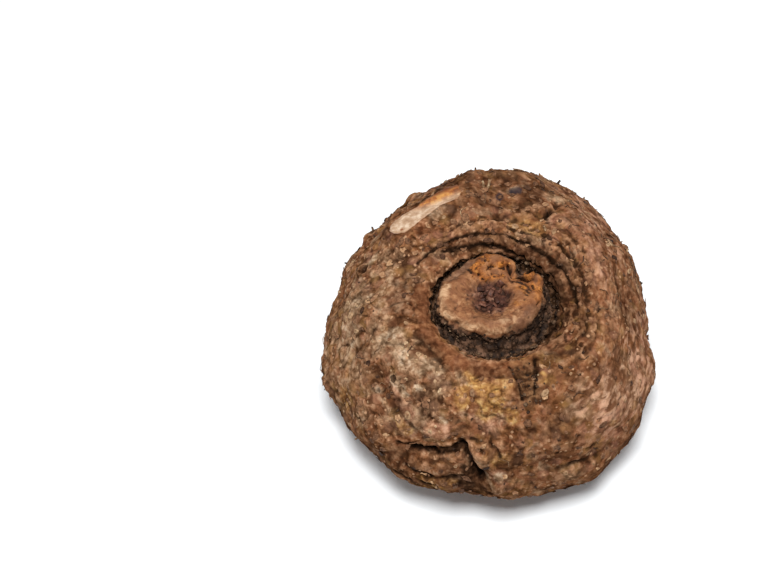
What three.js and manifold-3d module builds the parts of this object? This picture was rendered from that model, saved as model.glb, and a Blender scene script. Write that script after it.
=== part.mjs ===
// Elephant foot yam: one corm, grown as a single solid body.
// Millimetres. +Z runs up through the crown, the front of the corm faces -Y, and the origin is the middle of
// the corm's plan on the surface that it rests on.
//
// The body is a turned meridian, from the scar in the middle of the crown, over the boss, down into the
// furrow around it, over the lip and the shoulder, and under the belly to the flat patch that it rests on.
// Relief is raised along the turned surface's normals, the plan outline is then waved, and last a knife
// slice is pared off a ridge on the back left shoulder.
//
// A place on the skin is given as [reach, toward]: reach is the distance from the scar along the meridian,
// in millimetres, and toward is the direction seen from above, in degrees from +X.
import * as THREE from "three";
import { mergeVertices } from "three/addons/utils/BufferGeometryUtils.js";
import Module from "manifold-3d";

const BELLY_RADIUS = 115; // mean plan radius at the widest level
const FLAT_RADIUS = 52; // mean radius of the flat patch under the corm
const LIP_RADIUS = 43.5; // inner edge of the folded collar around the furrow
const CROWN_OFFSET = new THREE.Vector2(0, -6.5); // the crown sits a little in front of the plan's middle
const COLLAR_OFFSET = new THREE.Vector2(3, -3.5); // the collar's ring against the boss inside it
const CROWN_FLATTENING = 0.05; // how much shorter the crown is from front to back
const CROWN_CORE = 45; // plan radius inside which the crown keeps its own shape
const CROWN_EDGE = 105; // plan radius at which the crown's shape has given way to the outline's
const COLLAR_FADE = 55; // distance past the lip in which the collar's offset dies away
const REST_FADE = 9; // relief dies away below this height, so that the flat patch stays flat

// The meridian as [radius, height], from the scar to the middle of the flat patch.
const SCAR = [[0, 105], [7, 104.5], [12, 106.5]];
const BOSS = [[18, 110.5], [26, 112.5], [31, 111.5], [34, 107.5]];
const FURROW = [[34.8, 101], [36, 96.5], [38, 95], [40, 97.5], [41.3, 103]];
const COLLAR = [[LIP_RADIUS, 108], [48, 111], [55, 111.8], [63, 110.5]];
const SHOULDER = [[73, 107], [84, 100.5], [95, 90], [105, 76.5], [112, 62]];
const BELLY = [[BELLY_RADIUS, 49.5], [113.5, 38], [108, 26], [98, 14.5], [84, 6], [68, 1.2]];
const FLAT_PATCH = [[FLAT_RADIUS, 0], [0, 0]];
const STATIONS = [...SCAR, ...BOSS, ...FURROW, ...COLLAR, ...SHOULDER, ...BELLY, ...FLAT_PATCH];

// Faces: around the body they are packed closer together at the front, where the split and its cleft are, and
// along the meridian each band of the body has rings of its own spacing, in the order of the stations above.
const AZIMUTHS = 88;
const PACKING = { toward: -98, strength: 0.34 };
const BOSS_STEP = 4.2;
const FOLDS_STEP = 3;
const SHOULDER_STEP = 5;
const BELLY_STEP = 9;
const BOSS_END = 29; // reach of the boss's brow, where the furrow's finer rings begin
const FOLDS_END = 112; // reach at which the folded collar has smoothed out
const ARC_STEPS = 80; // steps between two stations of the meridian when its length is measured

// The plan outline: waves around the belly, each with its number of crests, height and a crest's direction.
const OUTLINE_WAVES = [
  { crests: 2, height: 5.7, toward: 85 },
  { crests: 3, height: 3.9, toward: -43 },
  { crests: 4, height: 1.1, toward: -42 },
  { crests: 5, height: 0.8, toward: 27 },
];

// Swells, dents and creases. Each runs between two places and fades over its spread; rise is its height.
const RELIEF = [
  { what: "broken tissue on the boss", from: [27, 92], to: [28, 14], spread: 6, rise: -2 },
  { what: "hole at the boss's broken edge", from: [27, 50], to: [30, 36], spread: 4.8, rise: -4 },
  { what: "bite out of the boss, front left", from: [37, -148], to: [36, -122], spread: 4, rise: -1.6 },
  { what: "lobe of the boss, front", from: [30, -96], to: [30, -70], spread: 5, rise: 1.2 },
  { what: "left shoulder swell", from: [94, -142], to: [100, -136], spread: 15, rise: 3 },
  { what: "fold recess by the lip", from: [79, -144], to: [80, -128], spread: 5, rise: -2.6 },
  { what: "dent across the left shoulder", from: [118, -140], to: [125, -112], spread: 6.5, rise: -2.4 },
  { what: "swell in front of the collar", from: [95, -104], to: [98, -86], spread: 11, rise: 1.8 },
  { what: "sunken patch", from: [82, -69], to: [99, -73], spread: 6, rise: -5 },
  { what: "split, left half", from: [148, -122], to: [145, -111], spread: 5.2, rise: -3.8 },
  { what: "split, right half", from: [143, -108], to: [136, -100], spread: 5.2, rise: -3.2 },
  { what: "cleft below the split", from: [149, -97], to: [159, -94], spread: 5.6, rise: -4 },
  { what: "ridge beside the cleft", from: [147, -90], to: [159, -86], spread: 5.6, rise: 1.8 },
  { what: "dent under the cleft", from: [194, -97], to: [196, -84], spread: 12, rise: -3 },
  { what: "bud knob", from: [134.5, -92], to: [135.5, -92], spread: 6.5, rise: 3 },
  { what: "front right swell", from: [122, -62], to: [140, -52], spread: 15, rise: 2.4 },
  { what: "front right dent", from: [150, -70], to: [158, -58], spread: 9, rise: -2 },
  { what: "right flank hollow", from: [119, 12], to: [128, -8], spread: 7, rise: -2.6 },
  { what: "right flank notch", from: [150, -2], to: [168, -6], spread: 8, rise: -2 },
  { what: "right flank swell", from: [158, -24], to: [166, -18], spread: 13, rise: 3.2 },
  { what: "right shoulder swell", from: [134, 28], to: [142, 18], spread: 13, rise: 2.8 },
  { what: "back brow", from: [122, 98], to: [122, 80], spread: 8, rise: 3.8 },
  { what: "slit at the back right", from: [97, 60], to: [110, 58], spread: 5, rise: -2.4 },
  { what: "back right hollow", from: [128, 64], to: [134, 50], spread: 10, rise: -2 },
  { what: "pared ridge at the back left", from: [108, 141], to: [107, 106], spread: 13, rise: 3.4 },
  { what: "back bud knob", from: [156, 118], to: [157, 118], spread: 8, rise: 3.4 },
  { what: "back dent", from: [160, 92], to: [176, 74], spread: 10, rise: -2.6 },
  { what: "swell below the slice", from: [142, 152], to: [147, 143], spread: 9, rise: 3.4 },
  { what: "left flank hollow", from: [146, 174], to: [138, 160], spread: 13, rise: -2 },
  { what: "left flank swell", from: [196, 174], to: [204, 160], spread: 18, rise: 2 },
  { what: "left flank bud knob", from: [168, -159], to: [169, -159], spread: 8, rise: 2 },
  { what: "left front belly dent", from: [182, -140], to: [196, -128], spread: 11, rise: -2.6 },
  { what: "right belly swell", from: [184, 28], to: [196, 20], spread: 14, rise: 2.2 },
];

// Folds in the skin around the collar: deep at the back right, which is toward, and faint at the front left.
// They rise in a few millimetres from the lip, and have wandered out of line and died away by the shoulder.
const FOLD = { pitch: 9.5, height: 1, toward: 30, faintest: 0.1, from: 66, rises: 8, fadesFrom: 85 };
const FOLD_WANDER = [
  { crests: 3, turn: 1.2, phase: 0 },
  { crests: 7, turn: 0.7, phase: 1 },
];
// Broad undulations of the whole skin, as waves through space: wavelength, height and direction of travel.
const UNDULATIONS = [
  { length: 46, height: 0.9, heading: new THREE.Vector3(0.8, 0.5, 0.3), phase: 0.4 },
  { length: 38, height: 0.8, heading: new THREE.Vector3(-0.4, 0.8, 0.5), phase: 2.1 },
  { length: 53, height: 0.9, heading: new THREE.Vector3(0.3, -0.5, 0.8), phase: 4.4 },
];
const UNDULATIONS_RISE = 20; // distance past the lip in which they reach their full height

// The slice pared off the ridge at the back left: the place under its middle, the cut face's height above the
// turned body there, and the way that the face looks.
const SLICE = { under: [104, 124], height: 2.4, toward: 129, elevation: 63 };

const radians = THREE.MathUtils.degToRad;
const { smoothstep } = THREE.MathUtils;
const UP = new THREE.Vector3(0, 0, 1);

const meridian = new THREE.SplineCurve(STATIONS.map(([radius, height]) => new THREE.Vector2(radius, height)));
meridian.arcLengthDivisions = ARC_STEPS * (STATIONS.length - 1);
const meridianLength = meridian.getLength();
const reachOfStation = (index) => meridian.getLengths()[index * ARC_STEPS];
const lipReach = reachOfStation(STATIONS.indexOf(COLLAR[0]));
const furrowReach = reachOfStation(STATIONS.indexOf(FURROW[0]) - 1);
const bellyReach = reachOfStation(STATIONS.indexOf(BELLY[0]));
const flatReach = reachOfStation(STATIONS.indexOf(FLAT_PATCH[0]));

/** The meridian's point at a reach, with its radius as x and its height as y. */
function stationAt(reach) {
  const point = meridian.getPointAt(Math.min(reach / meridianLength, 1));
  return new THREE.Vector2(Math.max(point.x, 0), Math.max(point.y, 0));
}

/** A place on the turned body, before relief and before the outline is waved. */
function turnedPoint([reach, toward]) {
  const { x: radius, y: height } = stationAt(reach);
  return new THREE.Vector3(radius * Math.cos(radians(toward)), radius * Math.sin(radians(toward)), height);
}

/** The reaches of all rings, from the scar to the middle of the flat patch. */
function ringReaches() {
  const bands = [
    { end: BOSS_END, step: BOSS_STEP },
    { end: FOLDS_END, step: FOLDS_STEP },
    { end: bellyReach, step: SHOULDER_STEP },
    { end: flatReach, step: BELLY_STEP },
  ];
  const reaches = [0];
  for (const { end, step } of bands) {
    const start = reaches.at(-1);
    const rings = Math.round((end - start) / step);
    for (let ring = 1; ring <= rings; ring++) {
      reaches.push(start + ((end - start) * ring) / rings);
    }
  }
  return [...reaches, (flatReach + meridianLength) / 2, meridianLength];
}

/** How far a face's corner turns about the axis, in radians, so that faces crowd together at the front. */
function packingTurn(point) {
  return -PACKING.strength * Math.sin(Math.atan2(point.y, point.x) - radians(PACKING.toward));
}

/** Height of the collar's folds, which run around the crown and wander a little. */
function foldRelief(reach, point) {
  const azimuth = Math.atan2(point.y, point.x);
  const facing = (1 + Math.cos(azimuth - radians(FOLD.toward))) / 2;
  const strength = FOLD.faintest + (1 - FOLD.faintest) * facing;
  const rise = smoothstep(reach, FOLD.from, FOLD.from + FOLD.rises);
  const fall = 1 - smoothstep(reach, FOLD.fadesFrom, FOLDS_END);
  let phase = (2 * Math.PI * (reach - FOLD.from)) / FOLD.pitch;
  for (const { crests, turn, phase: start } of FOLD_WANDER) {
    phase += turn * Math.sin(crests * azimuth + start);
  }
  return -FOLD.height * strength * rise * fall * Math.cos(phase);
}

/** Height of all relief at a point of the turned body. */
function reliefAt(reach, point) {
  let rise = foldRelief(reach, point);
  for (const { line, spread, rise: height } of reliefLines) {
    const gap = line.closestPointToPoint(point, true, new THREE.Vector3()).distanceTo(point);
    rise += height * Math.exp(-((gap / spread) ** 2));
  }
  const outsideCrown = smoothstep(reach, lipReach, lipReach + UNDULATIONS_RISE);
  for (const { length, height, heading, phase } of UNDULATIONS) {
    const along = point.dot(heading.clone().normalize());
    rise += outsideCrown * height * Math.sin((2 * Math.PI * along) / length + phase);
  }
  return rise * smoothstep(point.z, 0, REST_FADE);
}

/** Moves a point of the turned body to its place under the waved outline and the offset crown. */
function shapePlan(reach, point, radius) {
  const azimuth = Math.atan2(point.y, point.x);
  const away = reach > bellyReach ? 1 : smoothstep(radius, CROWN_CORE, CROWN_EDGE);
  const waves = OUTLINE_WAVES.map(
    ({ crests, height, toward }) => (height / BELLY_RADIUS) * Math.cos(crests * (azimuth - radians(toward))),
  );
  const swell = 1 + away * waves.reduce((sum, wave) => sum + wave, 0);
  const collarStarts = smoothstep(reach, furrowReach, lipReach);
  const collar = collarStarts * (1 - smoothstep(reach, lipReach, lipReach + COLLAR_FADE));
  point.x = point.x * swell + collar * COLLAR_OFFSET.x + (1 - away) * CROWN_OFFSET.x;
  point.y = point.y * swell * (1 - CROWN_FLATTENING * (1 - away))
    + collar * COLLAR_OFFSET.y + (1 - away) * CROWN_OFFSET.y;
  return point;
}

const reliefLines = RELIEF.map(({ from, to, spread, rise }) => ({
  line: new THREE.Line3(turnedPoint(from), turnedPoint(to)),
  spread,
  rise,
}));

/** The whole corm before the slice is taken off. */
function grownBody() {
  const reaches = ringReaches().reverse(); // a lathe's faces look outwards when its profile runs upwards
  const geometry = new THREE.LatheGeometry(reaches.map(stationAt), AZIMUTHS);
  geometry.rotateX(Math.PI / 2);
  const position = geometry.getAttribute("position");
  const normal = geometry.getAttribute("normal");
  const point = new THREE.Vector3();
  const outward = new THREE.Vector3();
  for (let i = 0; i < position.count; i++) {
    const reach = reaches[i % reaches.length];
    point.fromBufferAttribute(position, i);
    outward.fromBufferAttribute(normal, i);
    const turn = packingTurn(point);
    point.applyAxisAngle(UP, turn);
    outward.applyAxisAngle(UP, turn);
    const radius = Math.hypot(point.x, point.y);
    point.addScaledVector(outward, reliefAt(reach, point));
    shapePlan(reach, point, radius);
    position.setXYZ(i, point.x, point.y, point.z);
  }
  return geometry;
}

/** A block that covers everything outside the cut face. */
function sliceBlock() {
  const place = turnedPoint(SLICE.under);
  shapePlan(SLICE.under[0], place, Math.hypot(place.x, place.y));
  const facing = new THREE.Vector3(Math.cos(radians(SLICE.elevation)), 0, Math.sin(radians(SLICE.elevation)));
  facing.applyAxisAngle(UP, radians(SLICE.toward));
  place.addScaledVector(facing, SLICE.height);
  const side = BELLY_RADIUS;
  const block = new THREE.BoxGeometry(side, side, side).translate(0, 0, side / 2);
  block.applyQuaternion(new THREE.Quaternion().setFromUnitVectors(UP, facing));
  return block.translate(place.x, place.y, place.z);
}

const wasm = await Module();
wasm.setup();

/** A closed three.js geometry as a manifold-3d solid. */
function toSolid(geometry) {
  const bare = geometry.clone();
  bare.deleteAttribute("normal");
  bare.deleteAttribute("uv");
  const merged = mergeVertices(bare, 1e-3);
  return new wasm.Manifold(new wasm.Mesh({
    numProp: 3,
    vertProperties: new Float32Array(merged.getAttribute("position").array),
    triVerts: new Uint32Array(merged.index.array),
  }));
}

/** A manifold-3d solid as a three.js geometry. */
function toGeometry(solid) {
  const { vertProperties, triVerts } = solid.getMesh();
  const geometry = new THREE.BufferGeometry();
  geometry.setAttribute("position", new THREE.BufferAttribute(vertProperties, 3));
  geometry.setIndex(new THREE.BufferAttribute(triVerts, 1));
  geometry.computeVertexNormals();
  return geometry;
}

/** Puts the middle of the plan over the origin. */
function centred(geometry) {
  geometry.computeBoundingBox();
  const middle = geometry.boundingBox.getCenter(new THREE.Vector3());
  return geometry.translate(-middle.x, -middle.y, 0);
}

const driedSkin = new THREE.MeshStandardMaterial({ color: "#77573f", roughness: 0.9, metalness: 0 });
const pared = toSolid(grownBody()).subtract(toSolid(sliceBlock()));
const corm = new THREE.Mesh(centred(toGeometry(pared)), driedSkin);
corm.name = "corm";

const yam = new THREE.Group();
yam.name = "elephant_foot_yam";
yam.add(corm);

export default yam;
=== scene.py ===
"""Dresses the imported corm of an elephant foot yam: skin, crown, pared face, root scars, rootlets and soil.

Shapes are worked out in millimetres in the corm's own frame, with +Z up through the crown and the front
facing -Y, and each mesh is turned to metres as it is made. A place on the skin is a reach, the distance from
the bud's scar along the meridian in millimetres, and a direction seen from above, in degrees from +X.
"""

import logging
import math
from collections.abc import Sequence
from dataclasses import dataclass, field
from enum import Enum
from functools import cached_property
from typing import Any

import bmesh
import bpy
import numpy as np
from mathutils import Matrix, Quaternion, Vector


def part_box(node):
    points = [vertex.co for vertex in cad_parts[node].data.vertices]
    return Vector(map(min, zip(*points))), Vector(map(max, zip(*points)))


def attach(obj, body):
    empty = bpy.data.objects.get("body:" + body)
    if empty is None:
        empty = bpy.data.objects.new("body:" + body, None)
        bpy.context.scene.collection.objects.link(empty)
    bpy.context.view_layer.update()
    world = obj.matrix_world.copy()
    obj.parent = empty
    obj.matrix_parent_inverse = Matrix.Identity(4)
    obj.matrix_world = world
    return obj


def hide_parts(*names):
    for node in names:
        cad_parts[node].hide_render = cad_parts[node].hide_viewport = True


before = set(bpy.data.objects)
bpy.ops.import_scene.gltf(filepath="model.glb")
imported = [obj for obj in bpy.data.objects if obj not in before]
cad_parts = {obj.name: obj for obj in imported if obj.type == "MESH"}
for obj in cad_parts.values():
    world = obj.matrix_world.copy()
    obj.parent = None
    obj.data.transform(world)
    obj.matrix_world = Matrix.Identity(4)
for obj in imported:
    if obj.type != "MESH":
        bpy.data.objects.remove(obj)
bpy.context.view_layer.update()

Array = np.ndarray
Rng = np.random.Generator
Tree = bpy.types.NodeTree
Socket = bpy.types.NodeSocket
Piece = bpy.types.Object
Pair = tuple[float, float]
Line = tuple[Pair, ...]
log = logging.getLogger("yam")

MM = 0.001
TURN = 2 * math.pi
BODY = "root"
NODE = "corm"


# --- small tools ---


def linear(colour: str) -> tuple[float, float, float, float]:
    """Turns an sRGB hex colour into the linear colour that the shaders take.

    Args:
        colour: such as "#7a563c".

    Returns:
        Linear red, green and blue, and an alpha of 1.
    """
    parts = [int(colour[i:i + 2], 16) / 255 for i in (1, 3, 5)]
    red, green, blue = (c / 12.92 if c <= 0.04045 else ((c + 0.055) / 1.055) ** 2.4 for c in parts)
    return red, green, blue, 1.0


def ease(value: Array | float, start: float, end: float) -> Array:
    """Share that rises smoothly from 0 at start to 1 at end, or falls if start is the larger."""
    share = np.clip((np.asarray(value, float) - start) / (end - start), 0, 1)
    return share * share * (3 - 2 * share)


def bump_of(gap: Array | float, spread: float) -> Array:
    """A bell of height 1 where gap is 0, which fades over spread."""
    return np.exp(-np.square(np.asarray(gap, float) / spread))


def turn_between(toward: Array, middle: float) -> Array:
    """The turn from middle to each direction, in degrees, from -180 to 180."""
    return (np.asarray(toward, float) - middle + 180) % 360 - 180


def sector(toward: Array, middle: float, half: float, soft: float = 15) -> Array:
    """Share, from 0 to 1, by which a direction in degrees lies within half of middle, soft at its edges."""
    return 1 - ease(np.abs(turn_between(toward, middle)), half - soft / 2, half + soft / 2)


@dataclass(frozen=True)
class Grain:
    """Seeded random structure through space: smooth waves, and cells like those of cracked skin."""

    seed: int  # sets one grain apart from another

    def chance(self, cell: Array, channel: int = 0) -> Array:
        """Gives each cell of the lattice a random number of its own.

        Args:
            cell: whole coordinates of the cells, with the three axes last.
            channel: sets apart several numbers for one cell.

        Returns:
            Numbers from 0 to 1.
        """
        word = 0xFFFFFFFF
        key = cell[..., 0] * 73856093 ^ cell[..., 1] * 19349663 ^ cell[..., 2] * 83492791
        key = (key ^ (self.seed * 7919 + channel * 104729 + 1) * 2654435761) & word
        key = ((key ^ key >> 16) * 0x7FEB352D) & word
        key = ((key ^ key >> 15) * 0x846CA68B) & word
        return (key ^ key >> 16) / word

    def waves(self, points: Array, length: float) -> Array:
        """Smooth noise at points.

        Args:
            points: where, in millimetres.
            length: the distance between its lattice's planes, in millimetres.

        Returns:
            Values from about -1 to 1.
        """
        scaled = points / length
        base = np.floor(scaled).astype(np.int64)
        part = scaled - base
        rise = part ** 3 * (part * (part * 6 - 15) + 10)
        total = np.zeros(len(points))
        for corner in np.ndindex(2, 2, 2):
            cell = base + corner
            slope = np.stack([self.chance(cell, axis) for axis in range(3)], -1) * 2 - 1
            weight = np.prod(np.where(corner, rise, 1 - rise), axis=-1)
            total += weight * np.sum(slope * (part - corner), axis=-1)
        return 1.7 * total

    def rough(self, points: Array, length: float, octaves: int = 3, gain: float = 0.5) -> Array:
        """Waves on waves, each octave half as long as the one before.

        Args:
            points: where, in millimetres.
            length: the longest waves' length, in millimetres.
            octaves: how many lengths are added.
            gain: height of an octave against the one before.

        Returns:
            Values from about -1 to 1.
        """
        total = np.zeros(len(points))
        for octave in range(octaves):
            total += gain ** octave * Grain(self.seed + octave).waves(points, length / 2 ** octave)
        return total

    def cells(self, points: Array, spacing: float) -> tuple[Array, Array, Array]:
        """The cells that points lie in, as in a cracked skin.

        Args:
            points: where, in millimetres.
            spacing: mean distance between neighbouring cells' middles, in millimetres.

        Returns:
            Distances to the cell's middle and to its border, in millimetres, and the cell's own chance.
        """
        scaled = points / spacing
        base = np.floor(scaled).astype(np.int64)
        near = np.full(len(points), 9.0)
        second = near.copy()
        own = np.zeros(len(points))
        for shift in np.ndindex(3, 3, 3):
            cell = base + shift - 1
            middle = cell + np.stack([self.chance(cell, axis) for axis in range(3)], -1)
            gap = np.linalg.norm(scaled - middle, axis=-1)
            closer = gap < near
            second = np.where(closer, near, np.minimum(second, gap))
            own = np.where(closer, self.chance(cell, 3), own)
            near = np.where(closer, gap, near)
        return near * spacing, (second - near) / 2 * spacing, own


def drift(seeds: Sequence[int], points: Array, length: float, octaves: int = 1, gain: float = 0.5) -> Array:
    """A random shift in X, Y and Z at each point: three grains, as Grain.rough gives them."""
    return np.stack([Grain(seed).rough(points, length, octaves, gain) for seed in seeds], -1)


def wound(toward: Array, along: Array, radius: float = 1) -> Array:
    """Coordinates for a pattern that runs around the corm, or along its meridians, at this radius."""
    angle = np.radians(toward)
    return np.stack([radius * np.cos(angle), radius * np.sin(angle), along], -1)


# --- the body's shape ---

SCAR = ((0, 105), (7, 104.5), (12, 106.5))
BOSS = ((18, 110.5), (26, 112.5), (31, 111.5), (34, 107.5))
FURROW = ((34.8, 101), (36, 96.5), (38, 95), (40, 97.5), (41.3, 103))
COLLAR = ((43.5, 108), (48, 111), (55, 111.8), (63, 110.5))
SHOULDER = ((73, 107), (84, 100.5), (95, 90), (105, 76.5), (112, 62))
BELLY = ((115, 49.5), (113.5, 38), (108, 26), (98, 14.5), (84, 6), (68, 1.2))
FLAT_PATCH = ((52, 0), (0, 0))


@dataclass(frozen=True)
class Meridian:
    """The corm's half section, from the scar to the middle of the flat patch, turned about the axis."""

    # Radius and height of each point that the smooth curve passes through.
    stations: Line
    steps: int = 40  # straight steps between two stations when the curve is measured

    @cached_property
    def line(self) -> tuple[Array, Array]:
        """Traces the curve.

        Returns:
            Reach and place of points close together along it.
        """
        points = np.array(self.stations, float)
        padded = np.concatenate([points[:1], points, points[-1:]])
        share = np.arange(self.steps)[:, None] / self.steps
        traced = []
        for a, b, c, d in zip(padded, padded[1:], padded[2:], padded[3:]):
            leave, arrive = (c - a) / 2, (d - b) / 2
            cubic = (2 * b - 2 * c + leave + arrive) * share ** 3
            traced.append(cubic + (3 * c - 3 * b - 2 * leave - arrive) * share ** 2 + leave * share + b)
        curve = np.maximum(np.concatenate([*traced, points[-1:]]), 0)
        return np.concatenate([[0], np.cumsum(np.linalg.norm(np.diff(curve, axis=0), axis=1))]), curve

    @property
    def length(self) -> float:
        """The whole curve's length."""
        return float(self.line[0][-1])

    def reach_of(self, station: Pair) -> float:
        """Reach at which the curve passes a station."""
        return float(self.line[0][self.stations.index(station) * self.steps])

    def place(self, reach: Array) -> tuple[Array, Array]:
        """Radius and height of the curve at each reach, in millimetres."""
        reaches, curve = self.line
        return np.interp(reach, reaches, curve[:, 0]), np.interp(reach, reaches, curve[:, 1])

    def outward(self, reach: Array) -> tuple[Array, Array]:
        """The way out of the body at each reach.

        Args:
            reach: distances from the scar, in millimetres.

        Returns:
            The outward direction's radial and vertical shares.
        """
        span = 0.8
        (r0, z0), (r1, z1) = self.place(reach - span), self.place(reach + span)
        size = np.hypot(r1 - r0, z1 - z0) + 1e-9
        return (z0 - z1) / size, (r1 - r0) / size


@dataclass(frozen=True)
class Mark:
    """A swell, dent or crease in the body, along the line between two places."""

    start: Pair  # reach and direction of one end
    end: Pair  # reach and direction of the other
    spread: float  # distance over which it fades
    rise: float  # its height, or its depth if negative


MARKS = (
    Mark((27, 92), (28, 14), 6, -2),  # broken tissue on the boss
    Mark((37, -148), (36, -122), 4, -1.6),  # bite out of the boss, front left
    Mark((30, -96), (30, -70), 5, 1.2),  # lobe of the boss, front
    Mark((94, -142), (100, -136), 15, 3),  # left shoulder swell
    Mark((79, -144), (80, -128), 4.5, -2.8),  # fold recess by the lip
    Mark((118, -140), (125, -112), 6, -2.6),  # dent across the left shoulder
    Mark((95, -104), (98, -86), 11, 1.8),  # swell in front of the collar
    Mark((82, -69), (99, -73), 5.6, -4.6),  # sunken patch
    Mark((148, -122), (144, -110), 2.2, -4.5),  # split, left half
    Mark((144, -110), (134, -99.5), 2.2, -4.5),  # split, right half
    Mark((152, -120), (149, -106), 4, -2),  # step under the split
    Mark((140, -97.5), (158, -93), 3.2, -5),  # cleft below the split
    Mark((144, -92), (164, -87), 3.2, 2.4),  # ridge beside the cleft
    Mark((194, -97), (196, -84), 12, -3),  # dent under the cleft
    Mark((134.5, -92), (135.5, -92), 6, 3.2),  # bud knob
    Mark((122, -62), (140, -52), 15, 2.4),  # front right swell
    Mark((150, -70), (158, -58), 9, -2),  # front right dent
    Mark((119, 12), (128, -8), 7, -2.6),  # right flank hollow
    Mark((150, -2), (168, -6), 8, -2),  # right flank notch
    Mark((158, -24), (166, -18), 13, 3.2),  # right flank swell
    Mark((134, 28), (142, 18), 13, 2.8),  # right shoulder swell
    Mark((122, 98), (122, 80), 8, 3.8),  # back brow
    Mark((97, 60), (110, 58), 2.6, -3),  # slit at the back right
    Mark((128, 64), (134, 50), 10, -2),  # back right hollow
    Mark((108, 141), (107, 106), 13, 3.4),  # pared ridge at the back left
    Mark((156, 118), (157, 118), 8, 3.4),  # back bud knob
    Mark((160, 92), (176, 74), 10, -2.6),  # back dent
    Mark((142, 152), (147, 143), 9, 3.4),  # swell below the slice
    Mark((146, 174), (138, 160), 13, -2),  # left flank hollow
    Mark((196, 174), (204, 160), 18, 2),  # left flank swell
    Mark((168, -159), (169, -159), 8, 2),  # left flank bud knob
    Mark((182, -140), (196, -128), 11, -2.6),  # left front belly dent
    Mark((184, 28), (196, 20), 14, 2.2),  # right belly swell
)


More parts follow.
